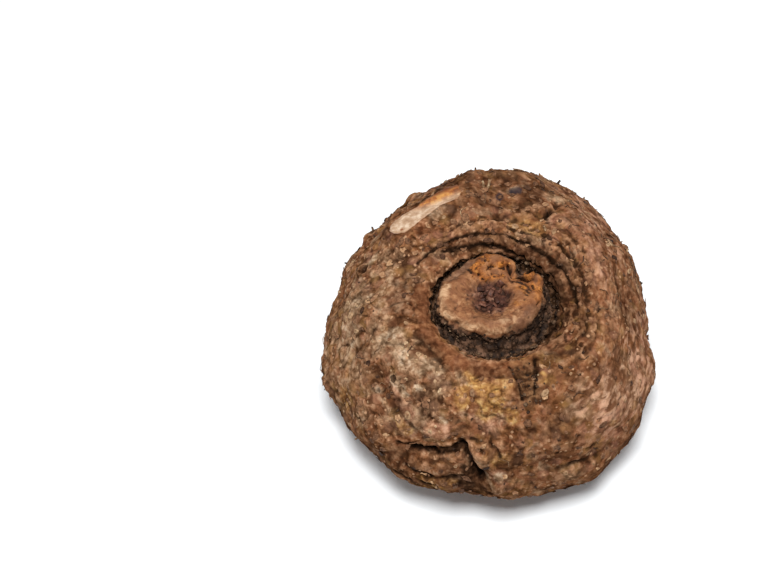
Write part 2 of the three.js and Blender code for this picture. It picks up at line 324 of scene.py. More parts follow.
@dataclass(frozen=True)
class Body:
    """The grown body as the solid has it: turned, marked by its swells and dents, and waved in plan."""

    meridian: Meridian = Meridian((*SCAR, *BOSS, *FURROW, *COLLAR, *SHOULDER, *BELLY, *FLAT_PATCH))
    belly_radius: float = 115  # at the widest level
    crown_offset: Pair = (0, -6.5)  # by which the crown's middle is off the body's
    collar_offset: Pair = (3, -3.5)  # by which the collar is off it further
    crown_flattening: float = 0.05  # by which the crown is narrower from front to back
    crown_core: float = 45  # radius inside which the crown is shifted whole
    crown_edge: float = 105  # radius at which the shift ends
    collar_fade: float = 55  # reach over which the collar's own shift fades
    rest_fade: float = 9  # height over the floor at which the relief is at its full
    folds: tuple[float, float, float, float] = (66, 74, 85, 112)  # reaches: start, full, fading, end
    fold_length: float = 9.5  # from one fold to the next
    stray: float = 1.5  # by which the marks wander off their lines
    # Number of lobes, height and direction of each wave of the plan.
    waves: tuple[tuple[int, float, float], ...] = ((2, 5.7, 85), (3, 3.9, -43), (4, 1.1, -42), (5, 0.8, 27))
    # Length, height, heading and phase of each broad undulation.
    undulations: tuple[tuple[float, float, tuple[float, float, float], float], ...] = (
        (46, 0.9, (0.8, 0.5, 0.3), 0.4), (38, 0.8, (-0.4, 0.8, 0.5), 2.1), (53, 0.9, (0.3, -0.5, 0.8), 4.4))

    @cached_property
    def lip(self) -> float:
        """Reach of the inner edge of the collar."""
        return self.meridian.reach_of(COLLAR[0])

    @cached_property
    def brow(self) -> float:
        """Reach of the boss's edge, where the furrow starts."""
        return self.meridian.reach_of(BOSS[-1])

    @cached_property
    def belly(self) -> float:
        """Reach of the widest level."""
        return self.meridian.reach_of(BELLY[0])

    def turned(self, reach: Array, toward: Array) -> tuple[Array, Array]:
        """Places on the plain turned body.

        Args:
            reach: their reaches.
            toward: their directions, in degrees.

        Returns:
            The places and the directions out of the body there.
        """
        radius, height = self.meridian.place(reach)
        out, up = self.meridian.outward(reach)
        cosine, sine = np.cos(np.radians(toward)), np.sin(np.radians(toward))
        outward = np.stack([out * cosine, out * sine, up], -1)
        return np.stack([radius * cosine, radius * sine, height], -1), outward

    def gap(self, points: Array, start: Pair, end: Pair) -> Array:
        """Distance of points of the turned body from the line between two places on it.

        Args:
            points: the points.
            start: reach and direction of one place.
            end: reach and direction of the other.

        Returns:
            Distances, in millimetres.
        """
        ends, _ = self.turned(*np.array([start, end], float).T)
        along = ends[1] - ends[0]
        share = np.clip((points - ends[0]) @ along / (along @ along), 0, 1)
        return np.linalg.norm(points - ends[0] - share[:, None] * along, axis=1)

    def marked(self, points: Array) -> Array:
        """Height of all marks at points of the turned body."""
        strayed = points + self.stray * drift((45, 47, 49), points, 8, 2)
        return sum(m.rise * bump_of(self.gap(strayed, m.start, m.end), m.spread) for m in MARKS)

    def fold_phase(self, reach: Array, toward: Array) -> Array:
        """How far along the collar's train of folds each place is, in radians."""
        angle = np.radians(toward)
        return (TURN * (reach - self.folds[0]) / self.fold_length + 1.2 * np.sin(3 * angle)
                + 0.7 * np.sin(7 * angle + 1))

    def fold_strength(self, reach: Array, toward: Array) -> Array:
        """Strength of the folds: full at the back right of the collar, and faint at its front left."""
        facing = (1 + np.cos(np.radians(toward - 30))) / 2
        return (0.1 + 0.9 * facing) * ease(reach, *self.folds[:2]) * (1 - ease(reach, *self.folds[2:]))

    def undulation(self, reach: Array, points: Array) -> Array:
        """Adds up the broad undulations that run through the whole skin.

        Args:
            reach: the points' reaches.
            points: where, on the turned body.

        Returns:
            Their height, in millimetres.
        """
        rise = np.zeros(len(points))
        for length, height, heading, phase in self.undulations:
            unit = np.array(heading) / np.linalg.norm(heading)
            rise += height * np.sin(TURN * (points @ unit) / length + phase)
        return rise * ease(reach, self.lip, self.lip + 20)

    def raised(self, reach: Array, toward: Array, points: Array) -> Array:
        """Adds up the body's relief, which fades towards the floor.

        Args:
            reach: the points' reaches.
            toward: their directions.
            points: where, on the turned body.

        Returns:
            Its height, in millimetres.
        """
        folds = self.fold_strength(reach, toward) * np.cos(self.fold_phase(reach, toward))
        return (self.marked(points) + self.undulation(reach, points) - folds) * ease(
            points[:, 2], 0, self.rest_fade)

    def shaped(self, reach: Array, radius: Array, points: Array) -> Array:
        """Moves points of the turned body under the waved outline and the offset crown.

        Args:
            reach: the points' reaches.
            radius: their radii on the turned body, before relief.
            points: the points, with their relief.

        Returns:
            The points in their final plan.
        """
        angle = np.arctan2(points[:, 1], points[:, 0])
        away = np.where(reach > self.belly, 1, ease(radius, self.crown_core, self.crown_edge))
        wave = sum(h / self.belly_radius * np.cos(n * (angle - math.radians(at))) for n, h, at in self.waves)
        swell = 1 + away * wave
        collar = ease(reach, self.brow, self.lip) * (1 - ease(reach, self.lip, self.lip + self.collar_fade))
        flatten = 1 - self.crown_flattening * (1 - away)
        (crown_x, crown_y), (collar_x, collar_y) = self.crown_offset, self.collar_offset
        x = points[:, 0] * swell + collar * collar_x + (1 - away) * crown_x
        y = points[:, 1] * swell * flatten + collar * collar_y + (1 - away) * crown_y
        return np.stack([x, y, points[:, 2]], -1)


@dataclass(frozen=True)
class Knife:
    """The flat cut that pared a slice off the ridge at the back left."""

    under: Pair = (104, 124)  # reach and direction of the place under the cut face's middle
    height: float = 2.4  # the cut face's height above the turned body there
    toward: float = 129  # the way that the face looks, seen from above
    elevation: float = 63  # how far the face looks up from the horizon

    def facing(self) -> Array:
        """The direction out of the cut face."""
        up, round_ = math.radians(self.elevation), math.radians(self.toward)
        return np.array([math.cos(up) * math.cos(round_), math.cos(up) * math.sin(round_), math.sin(up)])

    def middle(self, body: Body) -> Array:
        """Finds a point of the cut face.

        Args:
            body: the grown body.

        Returns:
            The point, before the body is set in its frame.
        """
        reach, toward = np.array([self.under], float).T
        radius, _ = body.meridian.place(reach)
        points, _ = body.turned(reach, toward)
        return body.shaped(reach, radius, points)[0] + self.height * self.facing()


# --- meshes and nodes ---


@dataclass
class Form:
    """A mesh in the making, in millimetres."""

    points: Array  # its corners
    faces: Array  # its triangles, as rows of three corners
    marks: dict[str, Array]  # values carried by the corners, each a number or a vector, by name

    def normals(self) -> Array:
        """Averages the faces around each corner.

        Returns:
            The way out of the form at each corner.
        """
        a, b, c = (self.points[self.faces[:, i]] for i in range(3))
        across = np.cross(b - a, c - a)
        total = np.stack([
            sum(np.bincount(self.faces[:, i], across[:, axis], len(self.points)) for i in range(3))
            for axis in range(3)
        ], -1)
        return total / (np.linalg.norm(total, axis=1, keepdims=True) + 1e-12)

    def spread_out(self, values: Array, rounds: int) -> Array:
        """Averages values with those of the neighbouring corners.

        Args:
            values: one row for each corner.
            rounds: how many times they are averaged.

        Returns:
            The smoothed values.
        """
        count = len(self.points)
        ends = np.concatenate([self.faces[:, [0, 1]], self.faces[:, [1, 2]], self.faces[:, [2, 0]]])
        share = 1 / np.maximum(np.bincount(ends[:, 0], minlength=count), 1)[:, None]
        for _ in range(rounds):
            columns = [np.bincount(ends[:, 0], column[ends[:, 1]], count) for column in values.T]
            values = (values + np.stack(columns, -1) * share) / 2
        return values

    def hollow(self, rounds: int) -> Array:
        """Depth of each corner under the smoothed form, which is negative where it stands proud."""
        smoothed = self.spread_out(self.points, rounds)
        return np.sum((smoothed - self.points) * self.normals(), axis=1)

    def piece(self, name: str, finishes: Sequence[bpy.types.Material]) -> Piece:
        """Makes a Blender object of the form.

        Args:
            name: the object's name.
            finishes: its materials; the first one is on every face.

        Returns:
            The object, in metres.
        """
        mesh = bpy.data.meshes.new(name)
        mesh.from_pydata(self.points * MM, [], self.faces.tolist())
        for mark, values in self.marks.items():
            kind, key = ("FLOAT", "value") if values.ndim == 1 else ("FLOAT_VECTOR", "vector")
            mesh.attributes.new(mark, kind, "POINT").data.foreach_set(key, values.astype(np.float32).ravel())
        for finish in finishes:
            mesh.materials.append(finish)
        mesh.shade_smooth()
        mesh.validate()
        made = bpy.data.objects.new(name, mesh)
        bpy.context.scene.collection.objects.link(made)
        return made


def rings_closed(rings: int, sides: int) -> Array:
    """Faces of a stack of rings with a corner at each end.

    Args:
        rings: how many rings there are, from the first end to the last.
        sides: corners in each ring.

    Returns:
        Triangles, for corners listed as the first end, each ring in turn, and the last end.
    """
    faces: list[tuple[int, int, int]] = []
    last = 1 + rings * sides
    for side in range(sides):
        after = (side + 1) % sides
        faces.append((0, 1 + after, 1 + side))
        for ring in range(rings - 1):
            a, b = 1 + ring * sides + side, 1 + ring * sides + after
            faces += [(a, b, b + sides), (a, b + sides, a + sides)]
        faces.append((last, last - sides + side, last - sides + after))
    return np.array(faces)


def stitched(counts: Sequence[int]) -> Array:
    """Faces between rings that have different numbers of corners.

    Args:
        counts: corners in each ring, from the middle of the top to the middle of the underside.

    Returns:
        Triangles that look outwards when the rings run downwards.
    """
    faces: list[tuple[int, int, int]] = []
    start = 0
    for upper, lower in zip(counts, counts[1:]):
        i = j = 0
        while i < (upper if upper > 1 else 0) or j < (lower if lower > 1 else 0):
            a, b = start + i % upper, start + upper + j % lower
            if lower == 1 or (upper > 1 and (i + 0.5) / upper < (j + 0.5) / lower):
                faces.append((a, b, start + (i + 1) % upper))
                i += 1
            else:
                faces.append((a, b, start + upper + (j + 1) % lower))
                j += 1
        start += upper
    return np.array(faces)


def add(tree: Tree, kind: str, settings: dict[Any, Any] | None = None,
        links: dict[Any, Any] | None = None) -> bpy.types.Node:
    """Adds a node with its settings and links.

    Args:
        tree: the material's or world's nodes.
        kind: the shader node's type.
        settings: values of its own settings, of its sockets by name or number, or "stops" for a colour ramp.
        links: for a socket's name or number, the node or output that feeds it.

    Returns:
        The node.
    """
    node = tree.nodes.new("ShaderNode" + kind)
    for key, value in (settings or {}).items():
        if key == "stops":
            ramp = node.color_ramp.elements
            while len(ramp) < len(value):
                ramp.new(0.5)
            for stop, (position, colour) in zip(ramp, value):
                stop.position, stop.color = position, linear(colour)
        elif isinstance(key, str) and hasattr(node, key):
            setattr(node, key, value)
        else:
            node.inputs[key].default_value = value
    for key, source in (links or {}).items():
        tree.links.new(source.outputs[0] if isinstance(source, bpy.types.Node) else source, node.inputs[key])
    return node


def per(size: float) -> float:
    """Scale at which a pattern in object coordinates repeats about every size millimetres."""
    return 1 / (size * MM)


# --- finishes ---

Stops = tuple[tuple[float, str], ...]
Painted = tuple[Any, Any, Any]


class Tint(Enum):
    """What sets a patch of the skin or the bud apart from what is around it."""

    PALE = "pale"
    RUDDY = "ruddy"
    OCHRE = "ochre"
    SUNKEN = "sunken"
    RUST = "rust"
    DUSKY = "dusky"
    BLUE = "blue"
    PINK = "pink"
    CHALK = "chalk"
    GRIME = "grime"
    BROKEN = "broken"
    SCAR = "scar"
    FURROW = "furrow"
    STREAKS = "streaks"


CORK_MARKS = (*(tint.value for tint in Tint if tint not in (Tint.BROKEN, Tint.SCAR)),
              "crease", "nub", "drawn", "hollow", "dimple")
BUD_MARKS = ("pale", "dusky", "broken", "scar", "furrow", "grime", "hollow", "dimple")


@dataclass(frozen=True)
class Finish:
    """A material, from its own name and typical values. Each finish paints its colour and its fine relief."""

    name: str  # the material's common name
    roughness: float  # of the surface
    ior: float  # of the surface
    relief: float  # height of the fine relief, in millimetres
    shine: float  # level of the surface's own reflection, which a rough dusty surface all but loses

    def paint(self, tree: Tree, place: Socket) -> Painted:
        """Draws the finish at place: what feeds its colour, its relief, and its roughness or None."""
        raise NotImplementedError

    def layered(self, tree: Tree, under: Any, coats: Sequence[tuple[Any, Any]]) -> Any:
        """Lays colours over one another.

        Args:
            tree: the material's nodes.
            under: the colour at the bottom.
            coats: pairs of a share and a colour, which is a node or a hex colour, from the bottom up.

        Returns:
            The node that gives the finished colour.
        """
        for share, over in coats:
            plain = isinstance(over, str)
            settings, links = ({"Color2": linear(over)}, {}) if plain else ({}, {"Color2": over})
            under = add(tree, "MixRGB", settings, {"Fac": share, "Color1": under, **links})
        return under

    def material(self) -> bpy.types.Material:
        """Makes the material in Blender.

        Returns:
            The material, with what paint draws and the finish's own values.
        """
        made = bpy.data.materials.new(self.name)
        made.use_nodes = True
        tree = made.node_tree
        tree.nodes.clear()
        place = add(tree, "TexCoord").outputs["Object"]
        colour, height, roughness = self.paint(tree, place)
        bump = add(tree, "Bump", {"Distance": self.relief * MM, "Strength": 1.0}, {"Height": height})
        links = {"Base Color": colour, "Normal": bump}
        settings: dict[str, float] = {"IOR": self.ior, "Specular IOR Level": self.shine}
        if roughness is None:
            settings["Roughness"] = self.roughness
        else:
            links["Roughness"] = roughness
        shader = add(tree, "BsdfPrincipled", settings, links)
        add(tree, "OutputMaterial", {}, {"Surface": shader})
        return made


@dataclass(frozen=True)
class CorkSkin(Finish):
    """Periderm, the corky skin of a corm that grew in soil and was dried in air.

    It gives the eye matt brown that changes from one patch to the next, small cracked plates with soil in the
    seams between them, pale flecks where the outermost cells have rubbed off, and no gloss. Its proud tops
    are paler, as painted highlight and wear, and its creases, hollows and grooves darker, as painted shade
    and soil.
    """

    name: str = "dried_cork_skin"
    roughness: float = 0.86
    ior: float = 1.45
    relief: float = 0.5
    shine: float = 0.0
    patch: float = 17  # millimetres across a patch of one brown
    mottle: float = 7.0  # across a mottle inside it
    blot: float = 3.4  # across a blot inside that
    spot: float = 7.5  # across a spot of one hue
    plate: float = 7.0  # across a cracked plate
    fleck: float = 3.4  # across a rubbed fleck
    grain: float = 1.3  # the cork's own grain, which is finer on the real skin: drawn as coarse as shows
    browns: Stops = (
        (0.36, "#412512"), (0.44, "#5c3921"), (0.5, "#73492d"), (0.57, "#895d3b"), (0.68, "#a67955"))
    greys: Stops = ((0.36, "#4d3828"), (0.44, "#6f553e"), (0.52, "#8b6d52"), (0.64, "#b49779"))
    reds: Stops = ((0.36, "#512c1a"), (0.44, "#74472e"), (0.52, "#8e5d40"), (0.64, "#af8062"))
    pinks: Stops = ((0.36, "#64402e"), (0.44, "#8a5e49"), (0.52, "#a8785e"), (0.64, "#c99a7f"))
    chalks: Stops = ((0.38, "#7b6047"), (0.5, "#a88a6c"), (0.62, "#d2b89b"))
    # Near blacks for groove bottoms, holes and the furrow's walls: painted shade and soil.
    blacks: Stops = ((0.36, "#0e0805"), (0.5, "#21140c"), (0.64, "#3e2a1d"))
    ochres: Stops = ((0.36, "#5c3c20"), (0.44, "#8a5f35"), (0.54, "#aa7c47"), (0.66, "#cda669"))
    darks: Stops = ((0.36, "#1c0f09"), (0.5, "#3c2315"), (0.64, "#664630"))
    rusts: Stops = ((0.34, "#522f1c"), (0.5, "#70442b"), (0.66, "#8f6040"))
    gravels: Stops = ((0.36, "#2b1a0f"), (0.48, "#5b3d28"), (0.6, "#876243"))
    deeps: Stops = ((0.36, "#150c07"), (0.5, "#392618"), (0.62, "#6e503a"))
    # Pale pinkish colours for proud places: the skin's tops, where they are a painted highlight with wear,
    # and the nubs.
    pale_tops: Stops = ((0.38, "#7d573c"), (0.5, "#9e7353"), (0.62, "#c09270"))
    hues: Stops = ((0.0, "#5c4836"), (0.2, "#8f5c3f"), (0.4, "#4c2e1d"), (0.6, "#a07545"), (0.8, "#86624a"),
                   (1.0, "#9a6a55"))

    def paint(self, tree: Tree, place: Socket) -> Painted:
        """Draws browns in patches, cracked plates, rubbed flecks, and the tints of each part of the corm.

        Args:
            tree: the material's nodes.
            place: object coordinates.

        Returns:
            What feeds the colour, the relief and the roughness.
        """
        mark = {name: add(tree, "Attribute", {"attribute_name": name}).outputs["Fac"] for name in CORK_MARKS}
        patches, mottles, blots, grain = (
            add(tree, "TexNoise", {"Scale": per(size), "Detail": detail, "Roughness": 0.52,
                                   "Distortion": 0.5}, {"Vector": place})
            for size, detail in ((self.patch, 3.0), (self.mottle, 4.0), (self.blot, 3.0), (self.grain, 2.0)))
        bent = add(tree, "VectorMath", {"operation": "MULTIPLY_ADD", 1: (0.004, 0.004, 0.004)},
                   {0: mottles.outputs["Color"], 2: place})
        plates = add(tree, "TexVoronoi", {"feature": "DISTANCE_TO_EDGE", "Scale": per(self.plate)},
                     {"Vector": bent})
        flecks = add(tree, "TexVoronoi", {"Scale": per(self.fleck)}, {"Vector": bent})
        chance = add(tree, "SeparateColor", {}, {"Color": flecks.outputs["Color"]})
        spots = add(tree, "TexVoronoi", {"Scale": per(self.spot)}, {"Vector": bent})
        kind = add(tree, "SeparateColor", {}, {"Color": spots.outputs["Color"]})
        around = add(tree, "Attribute", {"attribute_name": "around"}).outputs["Vector"]
        # Streaks about 11 mm long around the widest level, and 4 mm across.
        drawn = add(tree, "VectorMath", {"operation": "MULTIPLY", 1: (10.0, 10.0, 24.0)}, {0: around})
        streaks = add(tree, "TexNoise", {"Scale": 1.0, "Detail": 3.0, "Roughness": 0.5, "Distortion": 0.5},
                      {"Vector": drawn})
        second = add(tree, "MixRGB", {}, {"Fac": mark["drawn"], "Color1": blots, "Color2": streaks})
        doubled = add(tree, "Math", {"operation": "ADD"}, {0: mottles, 1: second})
        mixed = add(tree, "Math", {"operation": "MULTIPLY_ADD", 1: 0.62, 2: -0.12}, {0: doubled})
        ramp = {name: add(tree, "ValToRGB", {"stops": getattr(self, name)}, {"Fac": mixed})
                for name in ("browns", "greys", "reds", "pinks", "chalks", "ochres", "darks", "rusts",
                             "gravels", "deeps", "pale_tops", "blacks")}
        ramp["hues"] = add(tree, "ValToRGB", {"stops": self.hues}, {"Fac": kind})
        level = {name: add(tree, "MapRange", {"From Min": start, "From Max": end, "To Max": top},
                           {"Value": source})
                 for name, source, start, end, top in (
                     ("redder", patches, 0.47, 0.55, 0.8), ("darker", patches, 0.47, 0.38, 0.85),
                     ("paler", patches, 0.56, 0.64, 0.8), ("rubbed", chance, 0.66, 0.74, 0.8),
                     ("fleck", flecks.outputs["Distance"], 0.34, 0.2, 1),
                     ("hue", spots.outputs["Distance"], 0.7, 0.3, 0.45),
                     ("seam", plates.outputs["Distance"], 0.05, 0.0, 0.3),
                     ("ridge", plates.outputs["Distance"], 0.0, 0.12, 0.4),
                     ("light streak", streaks, 0.51, 0.59, 0.7), ("dark streak", streaks, 0.47, 0.41, 0.8),
                     # From the small hollows' depth: proud tops paler, as painted highlight and wear, and
                     # small hollows darker, as painted shade and soil.
                     ("wear_and_highlight", mark["dimple"], -0.06, -0.5, 0.6), ("soil_and_shade", mark["dimple"], 0.08, 0.5, 0.75),
                     # Dark in the creases: painted shade and soil.
                     ("crease", mark["crease"], 0.1, 1.0, 0.8), ("shade", mark["hollow"], 0.5, 1.8, 0.7),
                     ("roughness", mottles, 0.35, 0.7, 0.95))}
        both = {name: add(tree, "Math", {"operation": "MULTIPLY"}, {0: first, 1: second})
                for name, first, second in (("fleck", level["fleck"], level["rubbed"]),
                                            ("pale nub", mark["nub"], mark["pale"]),
                                            ("light streak", mark["streaks"], level["light streak"]),
                                            ("dark streak", mark["streaks"], level["dark streak"]))}
        colour = self.layered(tree, ramp["browns"], (
            (level["redder"], ramp["reds"]), (level["darker"], ramp["darks"]),
            (level["paler"], ramp["greys"]), (mark["pale"], ramp["greys"]), (mark["ruddy"], ramp["reds"]),
            (mark["pink"], ramp["pinks"]), (level["hue"], ramp["hues"]), (mark["chalk"], ramp["chalks"]),
            # Proud tops paler: painted highlight and wear.
            (mark["ochre"], ramp["ochres"]), (level["wear_and_highlight"], ramp["pale_tops"]), (both["fleck"], "#b98f6d"),
            (mark["nub"], ramp["pale_tops"]), (both["pale nub"], "#c4a88c"), (level["seam"], "#38220f"),
            (both["light streak"], "#c4967a"), (both["dark streak"], "#65402a"),
            (mark["rust"], ramp["rusts"]), (mark["dusky"], ramp["darks"]),
            # Creases and small hollows darkened: painted shade and soil.
            (mark["sunken"], ramp["gravels"]), (level["crease"], "#321c10"), (level["soil_and_shade"], "#2b1a0f"),
            # Near black in grooves, holes and on the furrow's walls: painted shade and soil.
            (level["shade"], "#2a1a10"), (mark["furrow"], ramp["deeps"]), (mark["grime"], ramp["blacks"]),
            (mark["blue"], "#20242e"),
        ))
        rise = add(tree, "Math", {"operation": "MULTIPLY_ADD", 1: 0.3}, {0: grain, 2: mottles})
        height = add(tree, "Math", {"operation": "ADD"}, {0: rise, 1: level["ridge"]})
        return colour, height, level["roughness"]


@dataclass(frozen=True)
class BudTissue(Finish):
    """The bud's boss: firm tissue under a thin dry skin, torn open on one side so that it has gone orange.

    It gives the eye a smooth tan with mottles that follow its rings, a purplish brown scar in the middle, and
    an orange sponge where it is broken.
    """

    name: str = "bud_tissue"
    roughness: float = 0.72
    ior: float = 1.45
    relief: float = 0.35
    shine: float = 0.2
    mottle: float = 5.5  # millimetres across a mottle
    sponge: float = 2.4  # across a cell of the torn tissue
    tans: Stops = ((0.34, "#593620"), (0.45, "#7f5134"), (0.55, "#956643"), (0.68, "#ac7e5a"))
    oranges: Stops = ((0.36, "#3e200c"), (0.44, "#72401c"), (0.54, "#a0602b"), (0.66, "#d68b40"))
    purples: Stops = ((0.36, "#2e1811"), (0.5, "#4f2e22"), (0.6, "#6e4a38"), (0.7, "#94705c"))
    deeps: Stops = ((0.36, "#160d08"), (0.5, "#3c281a"), (0.62, "#735440"))
    pales: Stops = ((0.4, "#7d5638"), (0.5, "#a57b59"), (0.6, "#c8a27d"))
    steps: Stops = ((0.38, "#3f2b1f"), (0.5, "#654735"), (0.62, "#8b6a53"))

    def paint(self, tree: Tree, place: Socket) -> Painted:
        """Draws the ringed tan, the broken sponge and the scar.

        Args:
            tree: the material's nodes.
            place: object coordinates.

        Returns:
            What feeds the colour and the relief, and no roughness.
        """
        mark = {name: add(tree, "Attribute", {"attribute_name": name}).outputs["Fac"] for name in BUD_MARKS}
        mottles = add(tree, "TexNoise", {"Scale": per(self.mottle), "Detail": 5.0, "Roughness": 0.62},
                      {"Vector": place})
        around = add(tree, "Attribute", {"attribute_name": "around"}).outputs["Vector"]
        # About 6 mm each way at the boss's edge.
        drawn = add(tree, "VectorMath", {"operation": "MULTIPLY", 1: (4.5, 4.5, 15.0)}, {0: around})
        ringed = add(tree, "TexNoise", {"Scale": 1.0, "Detail": 6.0, "Roughness": 0.7, "Distortion": 0.7},
                     {"Vector": drawn})
        sponge = add(tree, "TexVoronoi", {"Scale": per(self.sponge)}, {"Vector": place})
        ramp = {name: add(tree, "ValToRGB", {"stops": getattr(self, name)}, {"Fac": source})
                for name, source in (("tans", ringed), ("oranges", mottles), ("purples", mottles),
                                     ("deeps", mottles), ("pales", ringed), ("steps", mottles))}
        level = {name: add(tree, "MapRange", {"From Min": start, "From Max": end, "To Max": top},
                           {"Value": source})
                 for name, source, start, end, top in (
                     # Darker in the boss's small hollows: painted shade and soil.
                     ("browner", mottles, 0.54, 0.42, 0.6), ("soil_and_shade", mark["dimple"], 0.04, 0.3, 0.8),
                     ("pore", sponge.outputs["Distance"], 0.36, 0.16, 0.7),
                     ("shade", mark["hollow"], 0.5, 1.8, 0.7))}
        pores = add(tree, "Math", {"operation": "MULTIPLY"}, {0: mark["broken"], 1: level["pore"]})
        colour = self.layered(tree, ramp["tans"], (
            (level["browner"], "#7c5034"), (mark["broken"], ramp["oranges"]), (pores, "#54301a"),
            # Pale along the boss's raised rim: painted highlight.
            (mark["pale"], ramp["pales"]), (mark["dusky"], ramp["steps"]), (mark["scar"], ramp["purples"]),
            # Small hollows darkened: painted shade and soil.
            (level["soil_and_shade"], "#24130a"), (level["shade"], "#2a190e"), (mark["furrow"], ramp["deeps"]),
            # Near black in cracks, pits and on the furrow's walls: painted shade and soil.
            (mark["grime"], "#1e120b"),
        ))
        rise = add(tree, "Math", {"operation": "ADD"}, {0: mottles, 1: ringed})
        torn = add(tree, "Math", {"operation": "MULTIPLY"},
                   {0: mark["broken"], 1: sponge.outputs["Distance"]})
        height = add(tree, "Math", {"operation": "ADD"}, {0: rise, 1: torn})
        return colour, height, None


@dataclass(frozen=True)
class CutFlesh(Finish):
    """Starchy flesh that a knife has pared and the air has begun to dry.

    It gives the eye a pale cream with a faint wet sheen, which has browned to orange towards one end, with
    small brown vein ends and a thin brown line where the skin begins. Along the outer edge at the orange end
    it is darkest brown, as browning and painted shade.
    """

    name: str = "cut_starchy_flesh"
    roughness: float = 0.46
    ior: float = 1.42
    relief: float = 0.12
    shine: float = 0.45
    mottle: float = 6.0  # millimetres across a mottle
    vein: float = 5.5  # between two vein ends
    creams: Stops = ((0.36, "#9d7859"), (0.5, "#bc997b"), (0.62, "#dac0a5"))
    oranges: Stops = ((0.36, "#743a14"), (0.5, "#a86430"), (0.62, "#d0944f"))

    def paint(self, tree: Tree, place: Socket) -> Painted:
        """Draws the cream, the orange end, the vein ends and the rim.

        Args:
            tree: the material's nodes.
            place: object coordinates.

        Returns:
            What feeds the colour and the relief, and no roughness.
        """
        along, rim = (add(tree, "Attribute", {"attribute_name": name}).outputs["Fac"]
                      for name in ("along", "rim"))
        mottles = add(tree, "TexNoise", {"Scale": per(self.mottle), "Detail": 6.0, "Roughness": 0.6},
                      {"Vector": place})
        veins = add(tree, "TexVoronoi", {"Scale": per(self.vein)}, {"Vector": place})
        chance = add(tree, "SeparateColor", {}, {"Color": veins.outputs["Color"]})
        ramp = {name: add(tree, "ValToRGB", {"stops": getattr(self, name)}, {"Fac": mottles})
                for name in ("creams", "oranges")}
        uneven = add(tree, "Math", {"operation": "MULTIPLY_ADD", 1: 0.5}, {0: mottles, 2: along})
        level = {name: add(tree, "MapRange", {"From Min": start, "From Max": end, "To Max": top},
                           {"Value": source})
                 for name, source, start, end, top in (
                     # Darkest brown along the outer edge at the orange end: browning and painted shade.
                     ("orange", uneven, 0.72, 1.04, 1.0), ("browned_and_shaded", uneven, 1.18, 1.34, 0.9),
                     ("spot", veins.outputs["Distance"], 0.26, 0.16, 1.0),
                     ("some", chance, 0.62, 0.66, 0.8), ("rim", rim, 0.9, 1.0, 0.85))}
        spots = add(tree, "Math", {"operation": "MULTIPLY"}, {0: level["spot"], 1: level["some"]})
        colour = self.layered(tree, ramp["creams"], (
            (level["orange"], ramp["oranges"]), (level["browned_and_shaded"], "#5f2f16"), (spots, "#8a4a20"),
            (level["rim"], "#7a4a28")))
        return colour, mottles, None


@dataclass(frozen=True)
class Litter(Finish):
    """A finish for small pieces, each of which carries its own tone, and the depth of its pit."""

    tones: Stops  # its colours, from the darkest pieces to the palest
    pit: str = "#24150c"  # the colour in the pits
    mottle: float = 1.6  # millimetres across a mottle
    uneven: float = 0.22  # by how much the tone changes within a piece

    def paint(self, tree: Tree, place: Socket) -> Painted:
        """Draws each piece in its own tone, mottled.

        Args:
            tree: the material's nodes.
            place: object coordinates.

        Returns:
            What feeds the colour and the relief, and no roughness.
        """
        tone, pit = (add(tree, "Attribute", {"attribute_name": name}).outputs["Fac"]
                     for name in ("tone", "pit"))
        mottles = add(tree, "TexNoise", {"Scale": per(self.mottle), "Detail": 3.0, "Roughness": 0.6},
                      {"Vector": place})
        shift = add(tree, "MapRange", {"From Min": 0.3, "From Max": 0.7, "To Min": -self.uneven,
                                       "To Max": self.uneven}, {"Value": mottles})
        shifted = add(tree, "Math", {"operation": "ADD"}, {0: tone, 1: shift})
        ramp = add(tree, "ValToRGB", {"stops": self.tones}, {"Fac": shifted})
        return self.layered(tree, ramp, ((pit, self.pit),)), mottles, None


# Cork ring left where a root has withered: pale, chalky and rough, and dark where the root's core was.
ROOT_CORK = Litter("root_scar_cork", 0.85, 1.45, 0.2, 0.2, (
    (0.0, "#4c3222"), (0.3, "#76523a"), (0.6, "#9a7858"), (0.85, "#bb9b78"), (1.0, "#d3b994")))
# Outer cork that has lifted in thin dry chips: papery, matt, brown with paler torn edges.
LOOSE_CORK = Litter("loose_cork", 0.82, 1.45, 0.15, 0.2, (
    (0.0, "#2f1c11"), (0.3, "#5e3f2b"), (0.6, "#8c6447"), (0.85, "#b8906a"), (1.0, "#d2b189")))
# Tissue torn from the bud: dry and spongy, gone orange in the air.
TORN_TISSUE = Litter("torn_bud_tissue", 0.75, 1.45, 0.25, 0.2, (
    (0.0, "#4c2a12"), (0.3, "#8a5426"), (0.6, "#b5783c"), (0.85, "#cf985a"), (1.0, "#e0b780")))
# Withered leaf bases of the bud: thin, slightly waxy, purplish brown with pinkish edges.
WITHERED_SCALE = Litter("withered_bud_scale", 0.6, 1.47, 0.15, 0.3, (
    (0.0, "#26130e"), (0.35, "#4b2c20"), (0.65, "#744a38"), (0.9, "#a0765f"), (1.0, "#bf9984")))
# Dried root fibre: thin, woody and matt, from near black to straw.
DRY_FIBRE = Litter("dried_root_fibre", 0.8, 1.5, 0.12, 0.25, (
    (0.0, "#1f140d"), (0.35, "#4c3423"), (0.65, "#8a6a4c"), (0.9, "#c3a984"), (1.0, "#dccab0")))
# Garden soil dried in crumbs: dull, dark and gritty.
DRY_SOIL = Litter("dried_garden_soil", 0.95, 1.5, 0.25, 0.12, (
    (0.0, "#170f0a"), (0.35, "#2e2018"), (0.65, "#4f3b2c"), (0.9, "#80664e"), (1.0, "#a68c6e")),
    pit="#120b07")


# --- the skin ---


@dataclass(frozen=True)
class Patch:
    """A patch of the surface with its own tint, along a line of places."""

    line: Line  # reach and direction of the places
    spread: float  # distance from the line to the patch's edge
    share: float = 1.0  # how strong the tint is, from 0 to 1


